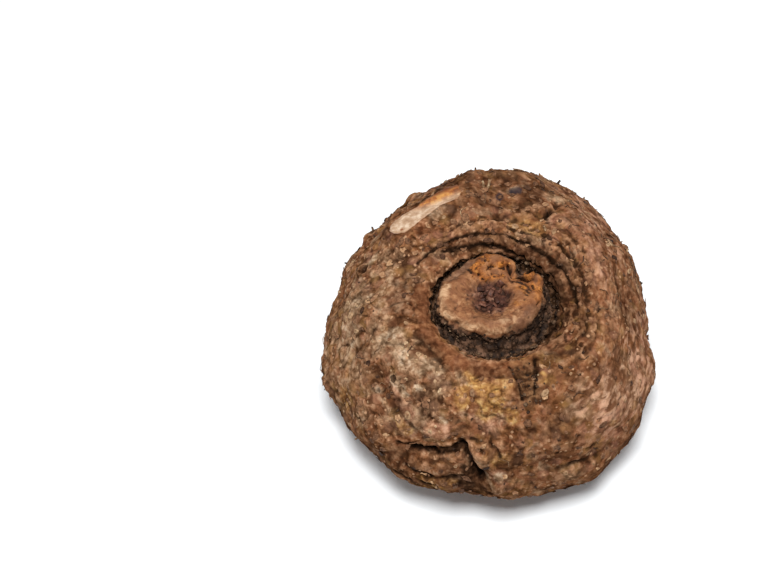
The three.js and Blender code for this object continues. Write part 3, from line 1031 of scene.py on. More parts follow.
PATCHES: dict[Tint, tuple[Patch, ...]] = {
    Tint.PALE: (
        Patch(((108, 168), (120, -165)), 26, 0.75), Patch(((150, -170), (140, -150)), 26, 0.6),
        Patch(((94, -146), (99, -122)), 14, 0.95), Patch(((122, -118), (130, -113)), 5, 0.9),
        Patch(((120, -112), (132, -128)), 9, 0.7), Patch(((112, -48), (118, -56)), 9, 0.6),
        Patch(((128, -36), (140, -30), (152, -22)), 13, 0.8), Patch(((120, 30), (128, 45)), 8, 0.5),
        # The next four patches run along the boss's raised rim: paler there as painted highlight.
        Patch(((33, 168), (34, -160)), 3.5, 0.9), Patch(((34, -158), (33, -128)), 3, 0.8),
        Patch(((34, -124), (34, -96)), 2.2, 0.75), Patch(((34.5, -94), (34.5, -64)), 2.3, 0.75),
        Patch(((27, -66), (30, -54)), 3, 0.6), Patch(((26, -40), (29, -52)), 3, 0.5),
        Patch(((130, -166), (134, -158)), 13, 0.9),
    ),
    Tint.RUDDY: (
        Patch(((120, 40), (128, 0)), 24, 0.7), Patch(((165, -40), (175, 0)), 26, 0.8),
        Patch(((105, 0), (112, -30)), 15, 0.6), Patch(((76, -100), (80, -84)), 8, 0.5),
        Patch(((74, 112), (70, 94), (71, 72)), 5, 0.5),
    ),
    Tint.OCHRE: (
        Patch(((84, -103), (90, -98), (100, -92)), 7), Patch(((90, -86), (103, -87), (110, -92)), 6.5),
        Patch(((96, -105), (104, -103)), 4, 0.8), Patch(((108, -80), (116, -82)), 5, 0.8),
        Patch(((72, -66), (76, -58), (82, -56)), 4, 0.9), Patch(((88, -62), (93, -64)), 2.5, 0.8),
        Patch(((80, -52), (84, -50)), 2.5, 0.7), Patch(((150, -150), (154, -146)), 6, 0.6),
        Patch(((140, -86), (138, -90)), 5, 0.5), Patch(((165, -112), (172, -106)), 5, 0.7),
        Patch(((86, 60), (85, 68), (84, 78)), 5, 0.6), Patch(((180, -114), (177, -106)), 3.5, 0.8),
        Patch(((162, -105), (164, -101)), 2.5, 0.6), Patch(((77.4, -18), (77.8, -17)), 2.4, 0.9),
        Patch(((65.5, -21), (66, -19.5)), 2.2, 0.9), Patch(((69.5, -34), (70, -33)), 2.2, 0.9),
        Patch(((83, -39.5), (83.5, -38.5)), 2.4, 0.8), Patch(((131, -124), (134, -120)), 3, 0.7),
    ),
    Tint.SUNKEN: (Patch(((78, -70), (90, -71)), 8.5), Patch(((90, -71), (104, -72.5)), 6)),
    Tint.RUST: (
        Patch(((57, 24), (58, -6), (57, -34)), 5, 0.6),
        Patch(((71, 176), (71, -162), (73, -144), (74.5, -128), (76, -114), (77, -102), (77, -76)), 6, 0.95),
        Patch(((77, -76), (75, -62)), 4.5, 0.8),
    ),
    Tint.DUSKY: (
        Patch(((25, -118), (26, -90), (25, -62)), 5, 0.3), Patch(((34, 150), (33, 116)), 4.5, 0.7),
        Patch(((158, -97), (164, -98.5), (169, -98), (172, -94), (168, -91), (161, -94)), 6),
        Patch(((152, -123), (156, -112), (157, -102)), 7, 0.7), Patch(((117, 164), (121, 164)), 2.4, 0.9),
        Patch(((152, -140), (162, -126), (165, -112)), 10, 0.65),
        Patch(((128, 102), (126, 84), (128, 70)), 13, 0.5), Patch(((168, -80), (168, -60)), 12, 0.4),
        Patch(((119, 122), (118, 100)), 6, 0.95), Patch(((78, 178), (84, 168), (80, -170)), 8, 0.5),
        Patch(((69, -28), (71, -42)), 7, 0.7), Patch(((73, 34), (74, 8), (73, -14)), 9, 0.8),
        Patch(((110, -121), (116, -119), (121, -114)), 3.5, 0.7), Patch(((118, 2), (131, -5)), 12, 0.65),
        Patch(((80, -100), (80, -80)), 6, 0.6),
        Patch(((68, 68), (69, 50), (69, 32), (68, 12), (67, -10), (67, -32)), 9, 0.9),
        # This patch and the next darken the lower front belly, where it turns under towards the floor:
        # painted shade.
        Patch(((168, -112), (176, -78)), 18, 0.6),
        Patch(((182, -160), (188, -130), (192, -100), (190, -72), (184, -46), (180, -30)), 17, 0.8),
        Patch(((120, -142), (128, -118)), 6, 0.5), Patch(((150, -84), (166, -54)), 13, 0.45),
        Patch(((76, 145), (74, 120), (72, 95), (70, 70), (69, 45)), 5, 0.45),
        Patch(((79, -146), (80, -128)), 5, 0.6), Patch(((104, 104), (104, 86), (108, 70)), 12, 0.75),
        Patch(((80, 26), (79, 8), (80, -12)), 7, 0.5), Patch(((79, -58), (81, -48), (82, -40)), 6.5, 0.8),
        Patch(((124, -71), (127, -66)), 8, 0.5), Patch(((150, 24), (156, 22)), 9, 0.5),
        Patch(((33, -26), (34, -42), (35, -58)), 5, 0.5),
    ),
    Tint.BLUE: (
        Patch(((101, 87), (103, 86)), 2.2, 0.8), Patch(((107, 80), (108, 77)), 2.4, 0.8),
        Patch(((120, 57), (123, 55)), 2.2, 0.7), Patch(((156, 32), (158, 31)), 2.4, 0.7),
    ),
    Tint.PINK: (
        Patch(((130, -42), (146, -36), (150, -28)), 14, 0.9), Patch(((127, -113), (126, -107)), 5, 0.8),
        Patch(((114, -133), (119, -127), (124, -121)), 3.5, 0.6),
        Patch(((136, 74), (142, 58), (141, 46)), 15, 0.8), Patch(((108, 42), (101, 29), (93, 14)), 11, 0.7),
        Patch(((158, 10), (158, -8), (150, -26)), 15, 0.75), Patch(((148, -50), (154, -42)), 12, 0.6),
        Patch(((154, -88), (157, -86)), 4, 0.7), Patch(((140, 112), (139, 96)), 9, 0.6),
        Patch(((116, -96), (119, -90)), 7, 0.6), Patch(((139, -54), (142, -50)), 8, 0.6),
        Patch(((94, 55), (97, 47)), 8, 0.6),
    ),
    Tint.CHALK: (
        Patch(((150, -93.5), (157, -91), (166, -88)), 1.5, 0.8),
        Patch(((126, -42), (138, -38), (148, -32)), 9, 0.4), Patch(((115.5, 160), (113, 157)), 2.4, 0.9),
        Patch(((91, -155), (94, -147), (97, -137), (92, -131)), 6, 0.7),
        Patch(((102, -153), (106, -149)), 5, 0.6), Patch(((86, -128), (89, -122)), 3.5, 0.6),
        Patch(((109, -136), (111, -134)), 3, 0.8), Patch(((111, -131), (114.5, -127)), 2.6, 0.8),
        Patch(((124, -139), (124, -137)), 2.6, 0.7), Patch(((105, -124.5), (106, -123.5)), 2.4, 0.8),
        Patch(((131, -168), (134, -160)), 8, 0.6), Patch(((112, 178), (115, -174)), 7, 0.45),
        Patch(((98, 121), (100, 116)), 5, 0.4), Patch(((155, -87.5), (157, -86.5)), 2.8, 0.8),
        Patch(((118, -109.5), (119, -108)), 2, 0.7),
    ),
    # Near black in holes, the notch and deep crevices: painted shade and soil.
    Tint.GRIME: (
        Patch(((149, -98.5), (153, -97), (155, -94.5)), 3, 0.9),
        Patch(((131, -100.5), (135, -99.5)), 2, 0.9), Patch(((29, 56), (30, 38)), 2.6, 0.9),
        Patch(((66, 62), (68, 52), (68, 40)), 6, 0.2),
        Patch(((68, 36), (67, 16), (65, -4), (66, -24), (69, -36)), 6, 0.5),
        Patch(((162, -98.5), (168, -97), (172, -93)), 7, 0.75), Patch(((176, -128), (180, -118)), 8, 0.35),
    ),
    Tint.BROKEN: (Patch(((24, 100), (25, 60)), 10), Patch(((28, 60), (27, 30), (29, -4)), 10.5, 0.8)),
    Tint.STREAKS: (
        Patch(((130, -42), (140, -28), (150, -12)), 24), Patch(((110, 15), (122, 35), (126, 50)), 17, 0.75),
    ),
}


@dataclass(frozen=True)
class Lobe:
    """A lobe of the boss's outline, or a bite out of it where rise is negative."""

    toward: float  # the direction of its middle
    half: float  # half of its width, in degrees
    rise: float  # how far it stands out


LOBES = (
    Lobe(-164, 18, 2.2), Lobe(160, 14, 0.6), Lobe(133, 14, -1.5), Lobe(90, 22, 2), Lobe(48, 11, -5.5),
    Lobe(27, 11, 4.4), Lobe(3, 18, 1.8), Lobe(-70, 24, -2.6), Lobe(-107, 13, -4.2), Lobe(-131, 10, -1),
)
# The same for the lip, the collar's inner edge.
LIP_LOBES = (
    Lobe(110, 50, -3.0), Lobe(-178, 26, -0.2), Lobe(52, 22, -1.6), Lobe(-20, 16, 1.2), Lobe(10, 12, -1.5),
    Lobe(-60, 14, 0.8), Lobe(-125, 14, -0.8),
)


@dataclass(frozen=True)
class Ring:
    """A ringed knob where a side bud has died back: a raised rim around a hole."""

    at: Pair  # its reach and direction
    radius: float  # of the rim
    rise: float  # the rim's height
    hole: float  # the hole's depth


RINGS = (
    Ring((119, 164), 4.6, 1.0, 2.4), Ring((110, -135), 2.8, 1.1, 0.5), Ring((124, -138), 2.4, 1.0, 0.4),
    Ring((135, -92.5), 5.2, 1.5, 2.6), Ring((95.3, -22.5), 2.6, 0.7, 0.9), Ring((89, -33), 2.4, 0.7, 0.9),
    Ring((83.1, -22.5), 3, 1.1, 1.0), Ring((156.5, 118), 4.2, 1.0, 1.4), Ring((168.5, -159), 4, 0.9, 1.2),
    Ring((25.5, 112), 2.2, 0.5, 1.0), Ring((120, -150), 2.8, 0.6, 0.8), Ring((150, 20), 3.2, 0.7, 1.0),
)

# Marks of the skin that the solid leaves out.
PITS = (
    Mark((25, 90), (25.5, 86), 1.5, -4),  # pit in the broken tissue
    Mark((26, 73), (26.5, 70), 1.3, -3.5),  # pit beside it
    Mark((29.8, 16), (30.3, 14), 1.3, -3.2),  # pit at the right
    Mark((25.9, 29), (26.2, 27), 1.3, -3),  # pit in the right lobe
    Mark((35, -11), (35, -14), 1.3, -3),  # pit at the boss's right edge
    Mark((28.5, 60), (28.5, 32), 2.6, -8),  # notch in the boss's edge
    Mark((33, 46), (36, 40), 3.2, -7),  # mouth of the notch
    Mark((33, 152), (32, 116), 4.5, -3),  # lower step of the boss, back left
    Mark((32, 172), (32, -140), 2.2, 0.9),  # raised rim of the boss, left
    Mark((28, -122), (30, -62), 2.2, 0.9),  # raised rim of the boss, front
    Mark((152, -95), (155, -94), 3.4, -4),  # black hollow beside the split
    Mark((134, -99), (141, -97.5), 1.8, -3.5),  # hook of the split
    Mark((74, 36), (77, 33), 2.4, 1.2),  # tan flake
    Mark((106, 126), (110, 114), 7, 1.2),  # ridge under the cut's middle
)


@dataclass(frozen=True)
class Groove:
    """A groove in the skin that follows a line of places, darkened at its bottom with painted shade and soil,
    or a ridge.
    """

    line: Line  # reach and direction of the places
    spread: float  # half of its width
    rise: float  # a ridge's height, or a groove's depth as a negative height
    dark: float  # how dark its bottom is, from 0 to 1

    def strength(self, gaps: Array) -> Array | float:
        """Whole if the groove is fully dark or is a ridge, and otherwise broken up by the gaps."""
        return 1 if self.dark == 1 or self.rise > 0 else 1 - gaps


GROOVES = (
    Groove((  # around the boss, back and right
        (74.7, 130), (72, 116), (70.5, 98), (68, 84), (64, 69), (63.5, 53), (61.5, 39), (57, 23), (54.5, -2),
        (60, -27), (67, -44)), 1.5, -2.2, 1.0),
    Groove((  # around it, further out
        (80.7, 151), (79.4, 133), (78.4, 118), (77, 101), (75.8, 82), (73.7, 64), (72.6, 44), (74, 25),
        (75.5, 10), (77, -6)), 1.1, -1.4, 1.0),
    Groove((  # by the lip, right
        (49, 70), (50, 45), (48, 20), (47, -5), (48.3, -16), (51.5, -35)), 1.6, -1.8, 1.0),
    Groove(((66, 40), (65, 20), (64, 0), (66, -22)), 1.0, -1.4, 0.9),  # between them, right
    Groove(((82, 84), (84, 52), (85, 24)), 1.1, -1.3, 0.8),  # outermost, back right
    Groove(((75, 12), (81, 8), (88, 3)), 1.4, -1.8, 0.85),  # across the collar, right
    Groove(((147.5, -118.5), (146, -114), (144, -108), (138, -102), (134, -99.5)), 1.7, -1.4, 1.0),  # split
    Groove(((137, -98.5), (146, -96), (160, -93)), 2.2, -1.6, 1.0),  # cleft
    Groove(((128, -97), (128.5, -91), (133, -87.5), (141, -86.5)), 1.3, -1.4, 0.85),  # around the bud knob
    Groove(((113, -103), (112.5, -94), (111, -85)), 1.1, -0.9, 0.55),  # under the ochre flake
    Groove(((75, -80), (88, -77), (102, -75.5)), 0.9, -1.0, 1.0),  # left edge of the sunken patch
    Groove(((75, -61), (88, -66), (100, -69.5)), 1.2, -1.3, 1.0),  # right edge of the sunken patch
    Groove(((96, 61), (104, 59.5), (110, 58)), 1.8, -1.6, 0.9),  # slit at the back
    Groove(((17.5, 28), (24, 12), (31, -5)), 0.8, -1.3, 0.8),  # crack in the boss, right
    Groove(((20.9, 39.5), (25, 20), (28, 8)), 0.8, -1.3, 0.8),  # crack above it
    Groove(((23.2, 53), (21, 46), (19, 38)), 0.9, -1.3, 0.9),  # crack to the notch
    Groove(((24, 2), (29, -4), (33, -12)), 0.8, -1.2, 0.8),  # crack at the right edge
    Groove(((22, 96), (26, 88), (30, 84)), 0.8, -1.2, 0.8),  # crack in the orange top
    Groove(((33, 124), (29, 123), (24.5, 124.5)), 1.0, -1.3, 0.85),  # step in the boss, back left
    Groove(((172, 4), (172, -2)), 10, -2.4, 0),  # flat at the right edge
    Groove(((174, -13), (178, -17)), 9, -3.2, 0),  # flat below it
    Groove(((170, 19), (172, 24)), 11, 2.4, 0),  # swell above it
    Groove(((193, -86), (195, -78)), 8, -2.2, 0),  # dent at the front's foot
    Groove(((131, -100.5), (134.5, -99.5)), 2.4, -2.6, 1.0),  # hole at the split's end
    Groove(((114, -133), (117, -130), (121, -124), (127, -117)), 3.6, 2.5, 0),  # ridge to the split
    Groove(((127, -112.5), (127, -107)), 6, 2.2, 0),  # lump over the split
    Groove(((131, -124), (134, -119)), 3, 1.2, 0),  # lump beside it
    Groove(((109, -121), (114, -118), (120, -113)), 4.2, -2.6, 0),  # valley in front of the bulge
    Groove(((149, -94), (157, -91), (167, -87.5)), 2, 1.6, 0),  # ridge over the flap
    Groove(((157, -114), (158, -108)), 4.5, 1.7, 0),  # lump under the split
    Groove(((165, -110), (167, -103)), 4.5, 1.7, 0),  # lump under that
    Groove((  # crevice under the split
        (159, -120), (162.5, -112), (160.5, -105), (160, -99)), 1.7, -1.7, 0.9),
    Groove(((172, -146), (169, -138), (174, -131)), 1.9, -1.7, 0.85),  # crevice at the left
    Groove(((170, -124), (173, -117), (171, -111), (174, -104)), 2, -1.8, 0.9),  # crevice below it
    Groove(((181, -134), (178, -127), (182, -119), (180, -110)), 2.1, -1.9, 0.9),  # crevice near the floor
    Groove(((152, -76), (158, -70), (157, -62), (162, -55)), 1.7, -1.5, 0.7),  # crevice at the front right
)


@dataclass
class Ground:
    """The finished surface as something for small pieces to sit on."""

    points: Array  # places on it, in millimetres
    normals: Array  # the way out at each place
    reach: Array  # each place's reach
    toward: Array  # each place's direction
    area: Array  # the area around each place, which is 0 where nothing may sit
    tint: dict[str, Array]  # the share of each tint at each place, and the hollow's depth

    def pick(self, rng: Rng, count: int, density: Array, gap: float) -> Array:
        """Chooses places at random that keep clear of each other.

        Args:
            rng: random numbers.
            count: how many places are wanted.
            density: how crowded each place is, against the others.
            gap: the least distance between two of them, in millimetres.

        Returns:
            Numbers of the chosen places.
        """
        weight = self.area * np.maximum(density, 0)
        chances = weight / weight.sum()
        tries = rng.choice(len(weight), min(3 * count, np.count_nonzero(weight)), False, chances)
        taken: dict[tuple[int, ...], list[int]] = {}
        chosen: list[int] = []
        for one in tries:
            cell = tuple(np.floor(self.points[one] / gap).astype(int))
            near = [other for shift in np.ndindex(3, 3, 3)
                    for other in taken.get(tuple(c + s - 1 for c, s in zip(cell, shift)), ())]
            if all(np.linalg.norm(self.points[one] - self.points[other]) >= gap for other in near):
                taken.setdefault(cell, []).append(one)
                chosen.append(one)
            if len(chosen) == count:
                break
        return np.array(chosen)

    def within(self, density: Array, near: Pair, far: Pair, loss: float = 1.0) -> Array:
        """A density that sets in over the reaches in near, and loses a share over those in far."""
        return density * ease(self.reach, *near) * (1 - loss * ease(self.reach, *far))

    def nearest(self, reach: float, toward: float) -> int:
        """Number of the place nearest to a reach and direction."""
        away = np.hypot(self.reach - reach, turn_between(self.toward, toward) * max(reach, 30) * 0.012)
        return int(np.argmin(away))

    def frames(self, rng: Rng, picks: Array, lean: float | Array = 0.0) -> Array:
        """Axes to set small pieces on: two across the surface, and one out of it.

        Args:
            rng: random numbers.
            picks: numbers of the places.
            lean: by how much the outward axis is tilted, as a tangent.

        Returns:
            Three rows for each place: its own X, Y and Z.
        """
        out = self.normals[picks]
        aside = np.cross(out, rng.normal(size=out.shape))
        aside /= np.linalg.norm(aside, axis=1, keepdims=True)
        out = out + aside * np.broadcast_to(lean, len(picks))[:, None]
        out /= np.linalg.norm(out, axis=1, keepdims=True)
        across = np.cross(out, np.cross(aside, out))
        across /= np.linalg.norm(across, axis=1, keepdims=True)
        along = aside - out * np.sum(aside * out, axis=1, keepdims=True)
        along /= np.linalg.norm(along, axis=1, keepdims=True)
        return np.stack([along, np.cross(out, along), out], 1)


@dataclass
class CormSkin:
    """The corm's whole surface, with its boss, furrow, folds, split and fine relief, pared by the knife."""

    body: Body  # the grown body's shape
    knife: Knife  # the cut
    # Reach at which each band of the surface ends, and the distance between its corners.
    bands: Line = ((66, 0.75), (120, 1.05), (200, 1.15), (261, 2.0), (400, 3.6))
    seed: int = 11  # of the corners' places
    jitter: float = 0.22  # by how much a corner is off its even place, as a share of the distance
    upright: float = 0.62  # by which lumps on the sides are drawn out upwards
    drawn_in: float = 1.6  # by which the boss is narrower than the solid's
    middle: Array = field(init=False)  # the body's middle in plan, before it is set in its frame
    stretch: Array = field(init=False)  # by which it then fits the solid's size

    def lattice(self) -> tuple[Array, Array, Array]:
        """Spreads corners over the surface in rings, each with as many as its length needs.

        Returns:
            The corners' reaches and directions, and the faces between them.
        """
        rng = np.random.default_rng(self.seed)
        reaches, steps = [0.0], [self.bands[0][1]]
        for end, step in self.bands:
            end = min(end, self.body.meridian.length)
            rings = max(round((end - reaches[-1]) / step), 1)
            steps += [step] * rings
            reaches += list(np.linspace(reaches[-1], end, rings + 1)[1:])
        radius, _ = self.body.meridian.place(np.array(reaches))
        counts = [1 if r < 0.3 else max(8, round(TURN * r / step)) for r, step in zip(radius, steps)]
        reach = np.repeat(reaches, counts)
        toward = np.concatenate([360 * np.arange(count) / count for count in counts])
        free = np.repeat([0.0 if count == 1 else step for count, step in zip(counts, steps)], counts)
        size = np.maximum(np.repeat(radius, counts), 0.5)
        reach = reach + rng.uniform(-self.jitter, self.jitter, len(reach)) * free
        toward = toward + np.degrees(rng.uniform(-self.jitter, self.jitter, len(reach)) * free / size)
        return np.clip(reach, 0, self.body.meridian.length), toward, stitched(counts)

    def outline(self, reach: Array, toward: Array, points: Array) -> Array:
        """Draws the boss's edge and the lip in and out, so that they have their lobes and bites.

        Args:
            reach: the corners' reaches.
            toward: their directions.
            points: their places.

        Returns:
            The places, moved in or out.
        """
        body = self.body
        boss, lip = (sum(lobe.rise * bump_of(turn_between(toward, lobe.toward), lobe.half) for lobe in lobes)
                     for lobes in (LOBES, LIP_LOBES))
        ragged = 0.9 * Grain(31).rough(points, 7, 3)
        on_boss = (boss - self.drawn_in + ragged) * ease(reach, 14, 33)
        at_lip = (lip + 0.8 * ragged) * ease(reach, body.lip - 8, body.lip)
        moved = on_boss * (1 - ease(reach, body.brow, body.lip - 4))
        moved += at_lip * (1 - ease(reach, body.lip, body.lip + 9))
        moved /= np.maximum(np.hypot(points[:, 0], points[:, 1]), 1e-6)
        return points * np.stack([1 + moved, 1 + moved, np.ones(len(points))], -1)

    def zones(self, reach: Array) -> tuple[Array, Array]:
        """Shares by which each reach is on the skin and on the boss, which leave the furrow between them."""
        lip, brow = self.body.lip, self.body.brow
        return ease(reach, lip - 3, lip + 6), 1 - ease(reach, brow - 1.5, brow + 1)

    def bent(self, points: Array) -> Array:
        """Coordinates in which the lumps lie: drawn out upwards, and a little out of line."""
        return points * (1, 1, self.upright) + 2.0 * drift((41, 42, 43), points, 9)

    def cork(self, reach: Array, toward: Array, points: Array,
             tint: dict[str, Array]) -> tuple[Array, dict[str, Array]]:
        """Relief of the skin: soft lumps with sharp creases between them, drawn out on the right.

        Args:
            reach: the corners' reaches.
            toward: their directions.
            points: their places.
            tint: the share of each tint there.

        Returns:
            Heights in millimetres, and the shares of creases, of nubs and of what is drawn out, from 0 to 1.
        """
        skin, _ = self.zones(reach)
        bent = self.bent(points)
        drawn = 0.6 * sector(toward, 15, 80, 80) * ease(reach, 66, 74) * (1 - ease(reach, 175, 200))
        drawn = np.maximum(drawn, tint["streaks"])
        even = 1 - 0.85 * np.maximum(tint["rust"], 0.6 * tint["pink"])
        # Lumps of 12 and 6 mm, or, where the skin is drawn out, 4.4 and 2.2 mm wide and running around.
        broad, small = np.abs(Grain(4).waves(bent, 12)), np.abs(Grain(5).rough(bent, 6, 2))
        flow = wound(toward, (reach + 3 * Grain(12).waves(points, 9)) / 4.4, 9)
        long, thin = np.abs(Grain(14).waves(flow, 1)), np.abs(Grain(15).rough(flow, 0.5, 2))
        calm = np.clip(0.55 + 1.5 * Grain(3).waves(points, 32), 0.15, 1)
        rise = 1.5 * Grain(1).rough(points, 24, 2) + even * (
            (1 - drawn) * (2.2 * broad + 1.2 * calm * small) + drawn * (1.9 * long + 0.9 * calm * thin) - 1.0)
        rise += even * 0.24 * Grain(6).rough(bent, 3.4, 2)
        # The creases' share darkens them in the colour, as painted shade and soil.
        round_ = np.maximum(bump_of(broad, 0.075), 0.7 * bump_of(small, 0.06))
        crease = even * np.maximum((1 - drawn) * round_,
                                   drawn * np.maximum(bump_of(long, 0.09), 0.6 * bump_of(thin, 0.06)))
        crease *= np.clip(0.2 + 2.0 * Grain(2).waves(points, 11), 0, 1) * skin * (1 - 0.4 * tint["pale"])
        # Wrinkles 3.4 mm wide around the collar.
        ring = wound(toward, (reach + 1.5 * Grain(28).waves(points, 12)) / 3.4, 6)
        wrinkle = np.abs(Grain(29).rough(ring, 1, 2))
        folded = 0.9 * sector(toward, 42, 85, 40) * ease(reach, 63, 67) * (1 - ease(reach, 83, 93))
        rise += folded * (1.7 * wrinkle - 0.5)
        crease = np.maximum(crease, folded * bump_of(wrinkle, 0.08))
        # Nubs 3 mm across in some of the cells, and wider pits in a few.
        near, _, own = Grain(9).cells(bent, 5.4)
        nub = bump_of(near, 1.5) * ease(own + 0.12 * tint["pale"], 0.66, 0.8) * even * skin
        rise += 0.9 * nub
        near, _, own = Grain(10).cells(points, 11)
        rise -= 1.1 * bump_of(near, 1.8) * ease(own, 0.78, 0.85) * even
        rise += tint["sunken"] * 0.9 * Grain(16).rough(points, 3.2, 2)
        return skin * rise, {"crease": crease, "nub": nub, "drawn": drawn}

    def bud(self, reach: Array, toward: Array, points: Array, tint: dict[str, Array]) -> Array:
        """Relief of the boss: faint fibres, soft lumps, a sponge where it is broken, and a rough scar.

        Args:
            reach: the corners' reaches.
            toward: their directions.
            points: their places.
            tint: the share of each tint there.

        Returns:
            Heights, in millimetres.
        """
        bent = self.bent(points)
        # Fibres that run outwards, about 4 mm apart and 24 mm long.
        rise = 0.07 * Grain(18).rough(wound(toward, reach / 24, 7), 1, 3, 0.6)
        rise += 0.8 * Grain(20).rough(points, 9, 2)
        rise += (1 - tint["broken"]) * 0.8 * np.abs(Grain(19).rough(bent, 6, 2))
        _, border, own = Grain(22).cells(points + 0.6 * (bent - points), 3.1)
        rise -= tint["broken"] * (2.9 * ease(border, 0.2, 1.1) * ease(own, 0.2, 0.95) - 0.6)
        rise += tint["broken"] * 0.8 * Grain(23).rough(points, 5, 2)
        rise += tint["scar"] * 1.3 * Grain(24).rough(points, 5.5, 3, 0.6)
        return rise

    def fine(self, reach: Array, toward: Array, points: Array,
             tint: dict[str, Array]) -> tuple[Array, dict[str, Array]]:
        """Joins the relief of the skin, the boss and the furrow's floor.

        Args:
            reach: the corners' reaches.
            toward: their directions.
            points: their places.
            tint: the share of each tint there.

        Returns:
            Heights in millimetres, and the shares that cork gives.
        """
        skin, boss = self.zones(reach)
        rise, shares = self.cork(reach, toward, points, tint)
        rise = rise + boss * self.bud(reach, toward, points, tint)
        return rise + np.clip(1 - skin - boss, 0, 1) * 1.6 * Grain(26).rough(points, 5, 3), shares

    def rings(self, points: Array) -> Array:
        """Adds up the ringed knobs.

        Args:
            points: places on the turned body.

        Returns:
            Their height there, in millimetres.
        """
        rise = np.zeros(len(points))
        for ring in RINGS:
            middle, _ = self.body.turned(*np.array([ring.at], float).T)
            gap = np.linalg.norm(points - middle, axis=1)
            rise += ring.rise * bump_of(gap - ring.radius, 0.36 * ring.radius)
            rise -= ring.hole * bump_of(gap, 0.5 * ring.radius)
        return rise

    def gaps(self, points: Array) -> Array:
        """Where the fainter grooves break off, from 0 to 1."""
        return np.clip(0.42 - 1.7 * Grain(65).waves(points, 8), 0, 0.95)

    def from_line(self, line: Line, points: Array) -> Array:
        """Distance of points of the turned body from a line of places on it."""
        return np.minimum.reduce([self.body.gap(points, *ends) for ends in zip(line, line[1:])])

    def tints(self, reach: Array, points: Array) -> dict[str, Array]:
        """Works out the share of each tint at each corner.

        Args:
            reach: the corners' reaches.
            points: their places on the turned body.

        Returns:
            Shares from 0 to 1, by the tints' names.
        """
        body = self.body
        share = {tint.value: np.zeros(len(points)) for tint in Tint}
        wander = drift((51, 52, 53), points, 14, 4, 0.6)
        gaps = np.clip(0.4 - 1.4 * Grain(57).rough(points, 9, 3), 0, 0.8)
        for tint, patches in PATCHES.items():
            for patch in patches:
                gap = self.from_line(patch.line, points + wander * min(0.55 * patch.spread, 6))
                covers = patch.share * (1 - ease(gap, 0.6 * patch.spread, 1.3 * patch.spread))
                covers *= 1 - gaps * ease(patch.spread, 4, 9)
                share[tint.value] = np.maximum(share[tint.value], covers)
        on_boss = 1 - ease(reach, body.brow, body.brow + 1)
        for tint in (Tint.PALE, Tint.DUSKY):
            share[tint.value] *= 1 - on_boss * share["broken"]
        ragged = Grain(55).rough(points, 6, 3)
        share["scar"] = 1 - ease(reach + 4 * ragged, 9.5, 17.5)
        share["furrow"] = ease(reach + 1.2 * ragged, body.brow - 2.5, body.brow + 1.5) * (
            1 - ease(reach + 1.6 * ragged, body.lip - 9, body.lip - 3))
        share["broken"] *= 1 - share["scar"]
        # Near black on the furrow's two walls: painted shade and soil.
        walls = bump_of(reach + 2 * ragged - 58, 3.5) + 0.7 * bump_of(reach + 2 * ragged - 44, 2.5)
        share["grime"] = np.maximum(share["grime"], np.clip(0.75 * walls * (1 + ragged), 0, 1))
        # Groove bottoms darkened by their dark share: painted shade and soil.
        for groove in GROOVES:
            gap = self.from_line(groove.line, points + 0.2 * wander)
            covers = groove.dark * groove.strength(self.gaps(points)) * (
                1 - ease(gap, 0.5 * groove.spread, 1.4 * groove.spread))
            share["grime"] = np.maximum(share["grime"], covers)
        return share

    def shape(self) -> tuple[Form, Array, Array, dict[str, Array]]:
        """Makes the whole surface before the cut.

        Returns:
            The form, its corners' reaches and directions, and their tints.
        """
        body = self.body
        reach, toward, faces = self.lattice()
        radius, _ = body.meridian.place(reach)
        turned, outward = body.turned(reach, toward)
        tint = self.tints(reach, turned)
        details = np.zeros(len(reach))
        for mark in PITS:
            gap = body.gap(turned, mark.start, mark.end)
            details += mark.rise * bump_of(gap * (1 + 0.25 * Grain(61).waves(turned, 4)), mark.spread)
        uneven = 1 + 0.3 * Grain(63).waves(turned, 6)
        details += sum(groove.rise * uneven * groove.strength(self.gaps(turned))
                       * bump_of(self.from_line(groove.line, turned) * uneven, groove.spread)
                       for groove in GROOVES)
        rise = body.raised(reach, toward, turned) + details + self.rings(turned)
        raised = turned + rise[:, None] * outward
        base = body.shaped(reach, radius, raised)
        low, high = (np.array(corner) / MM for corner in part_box(NODE))
        self.middle = (base.min(axis=0) + base.max(axis=0)) / 2
        self.middle[2] = 0
        widths = (base.max(axis=0) - base.min(axis=0))[:2]
        self.stretch = np.append((high - low)[:2] / widths, 1.0)
        fine, shares = self.fine(reach, toward, self.outline(reach, toward, turned), tint)
        fine *= ease(base[:, 2], 0, body.rest_fade)
        # The relief is fainter beside the cut, so that the cut's edge is clean.
        cut = self.knife.middle(body)
        fine *= 1 - 0.7 * bump_of((base - cut) @ self.knife.facing(), 3) * bump_of(
            np.linalg.norm(base - cut, axis=1), 46)
        drawn = body.shaped(reach, radius, self.outline(reach, toward, raised))
        points = drawn + fine[:, None] * Form(drawn, faces, {}).normals()
        points[:, 2] = np.maximum(points[:, 2], 0)
        form = Form((points - self.middle) * self.stretch, faces, {})
        form.marks = {**tint, **shares, "hollow": form.hollow(30), "dimple": form.hollow(6),
                      "around": wound(toward, reach / 100)}
        return form, reach, toward, tint

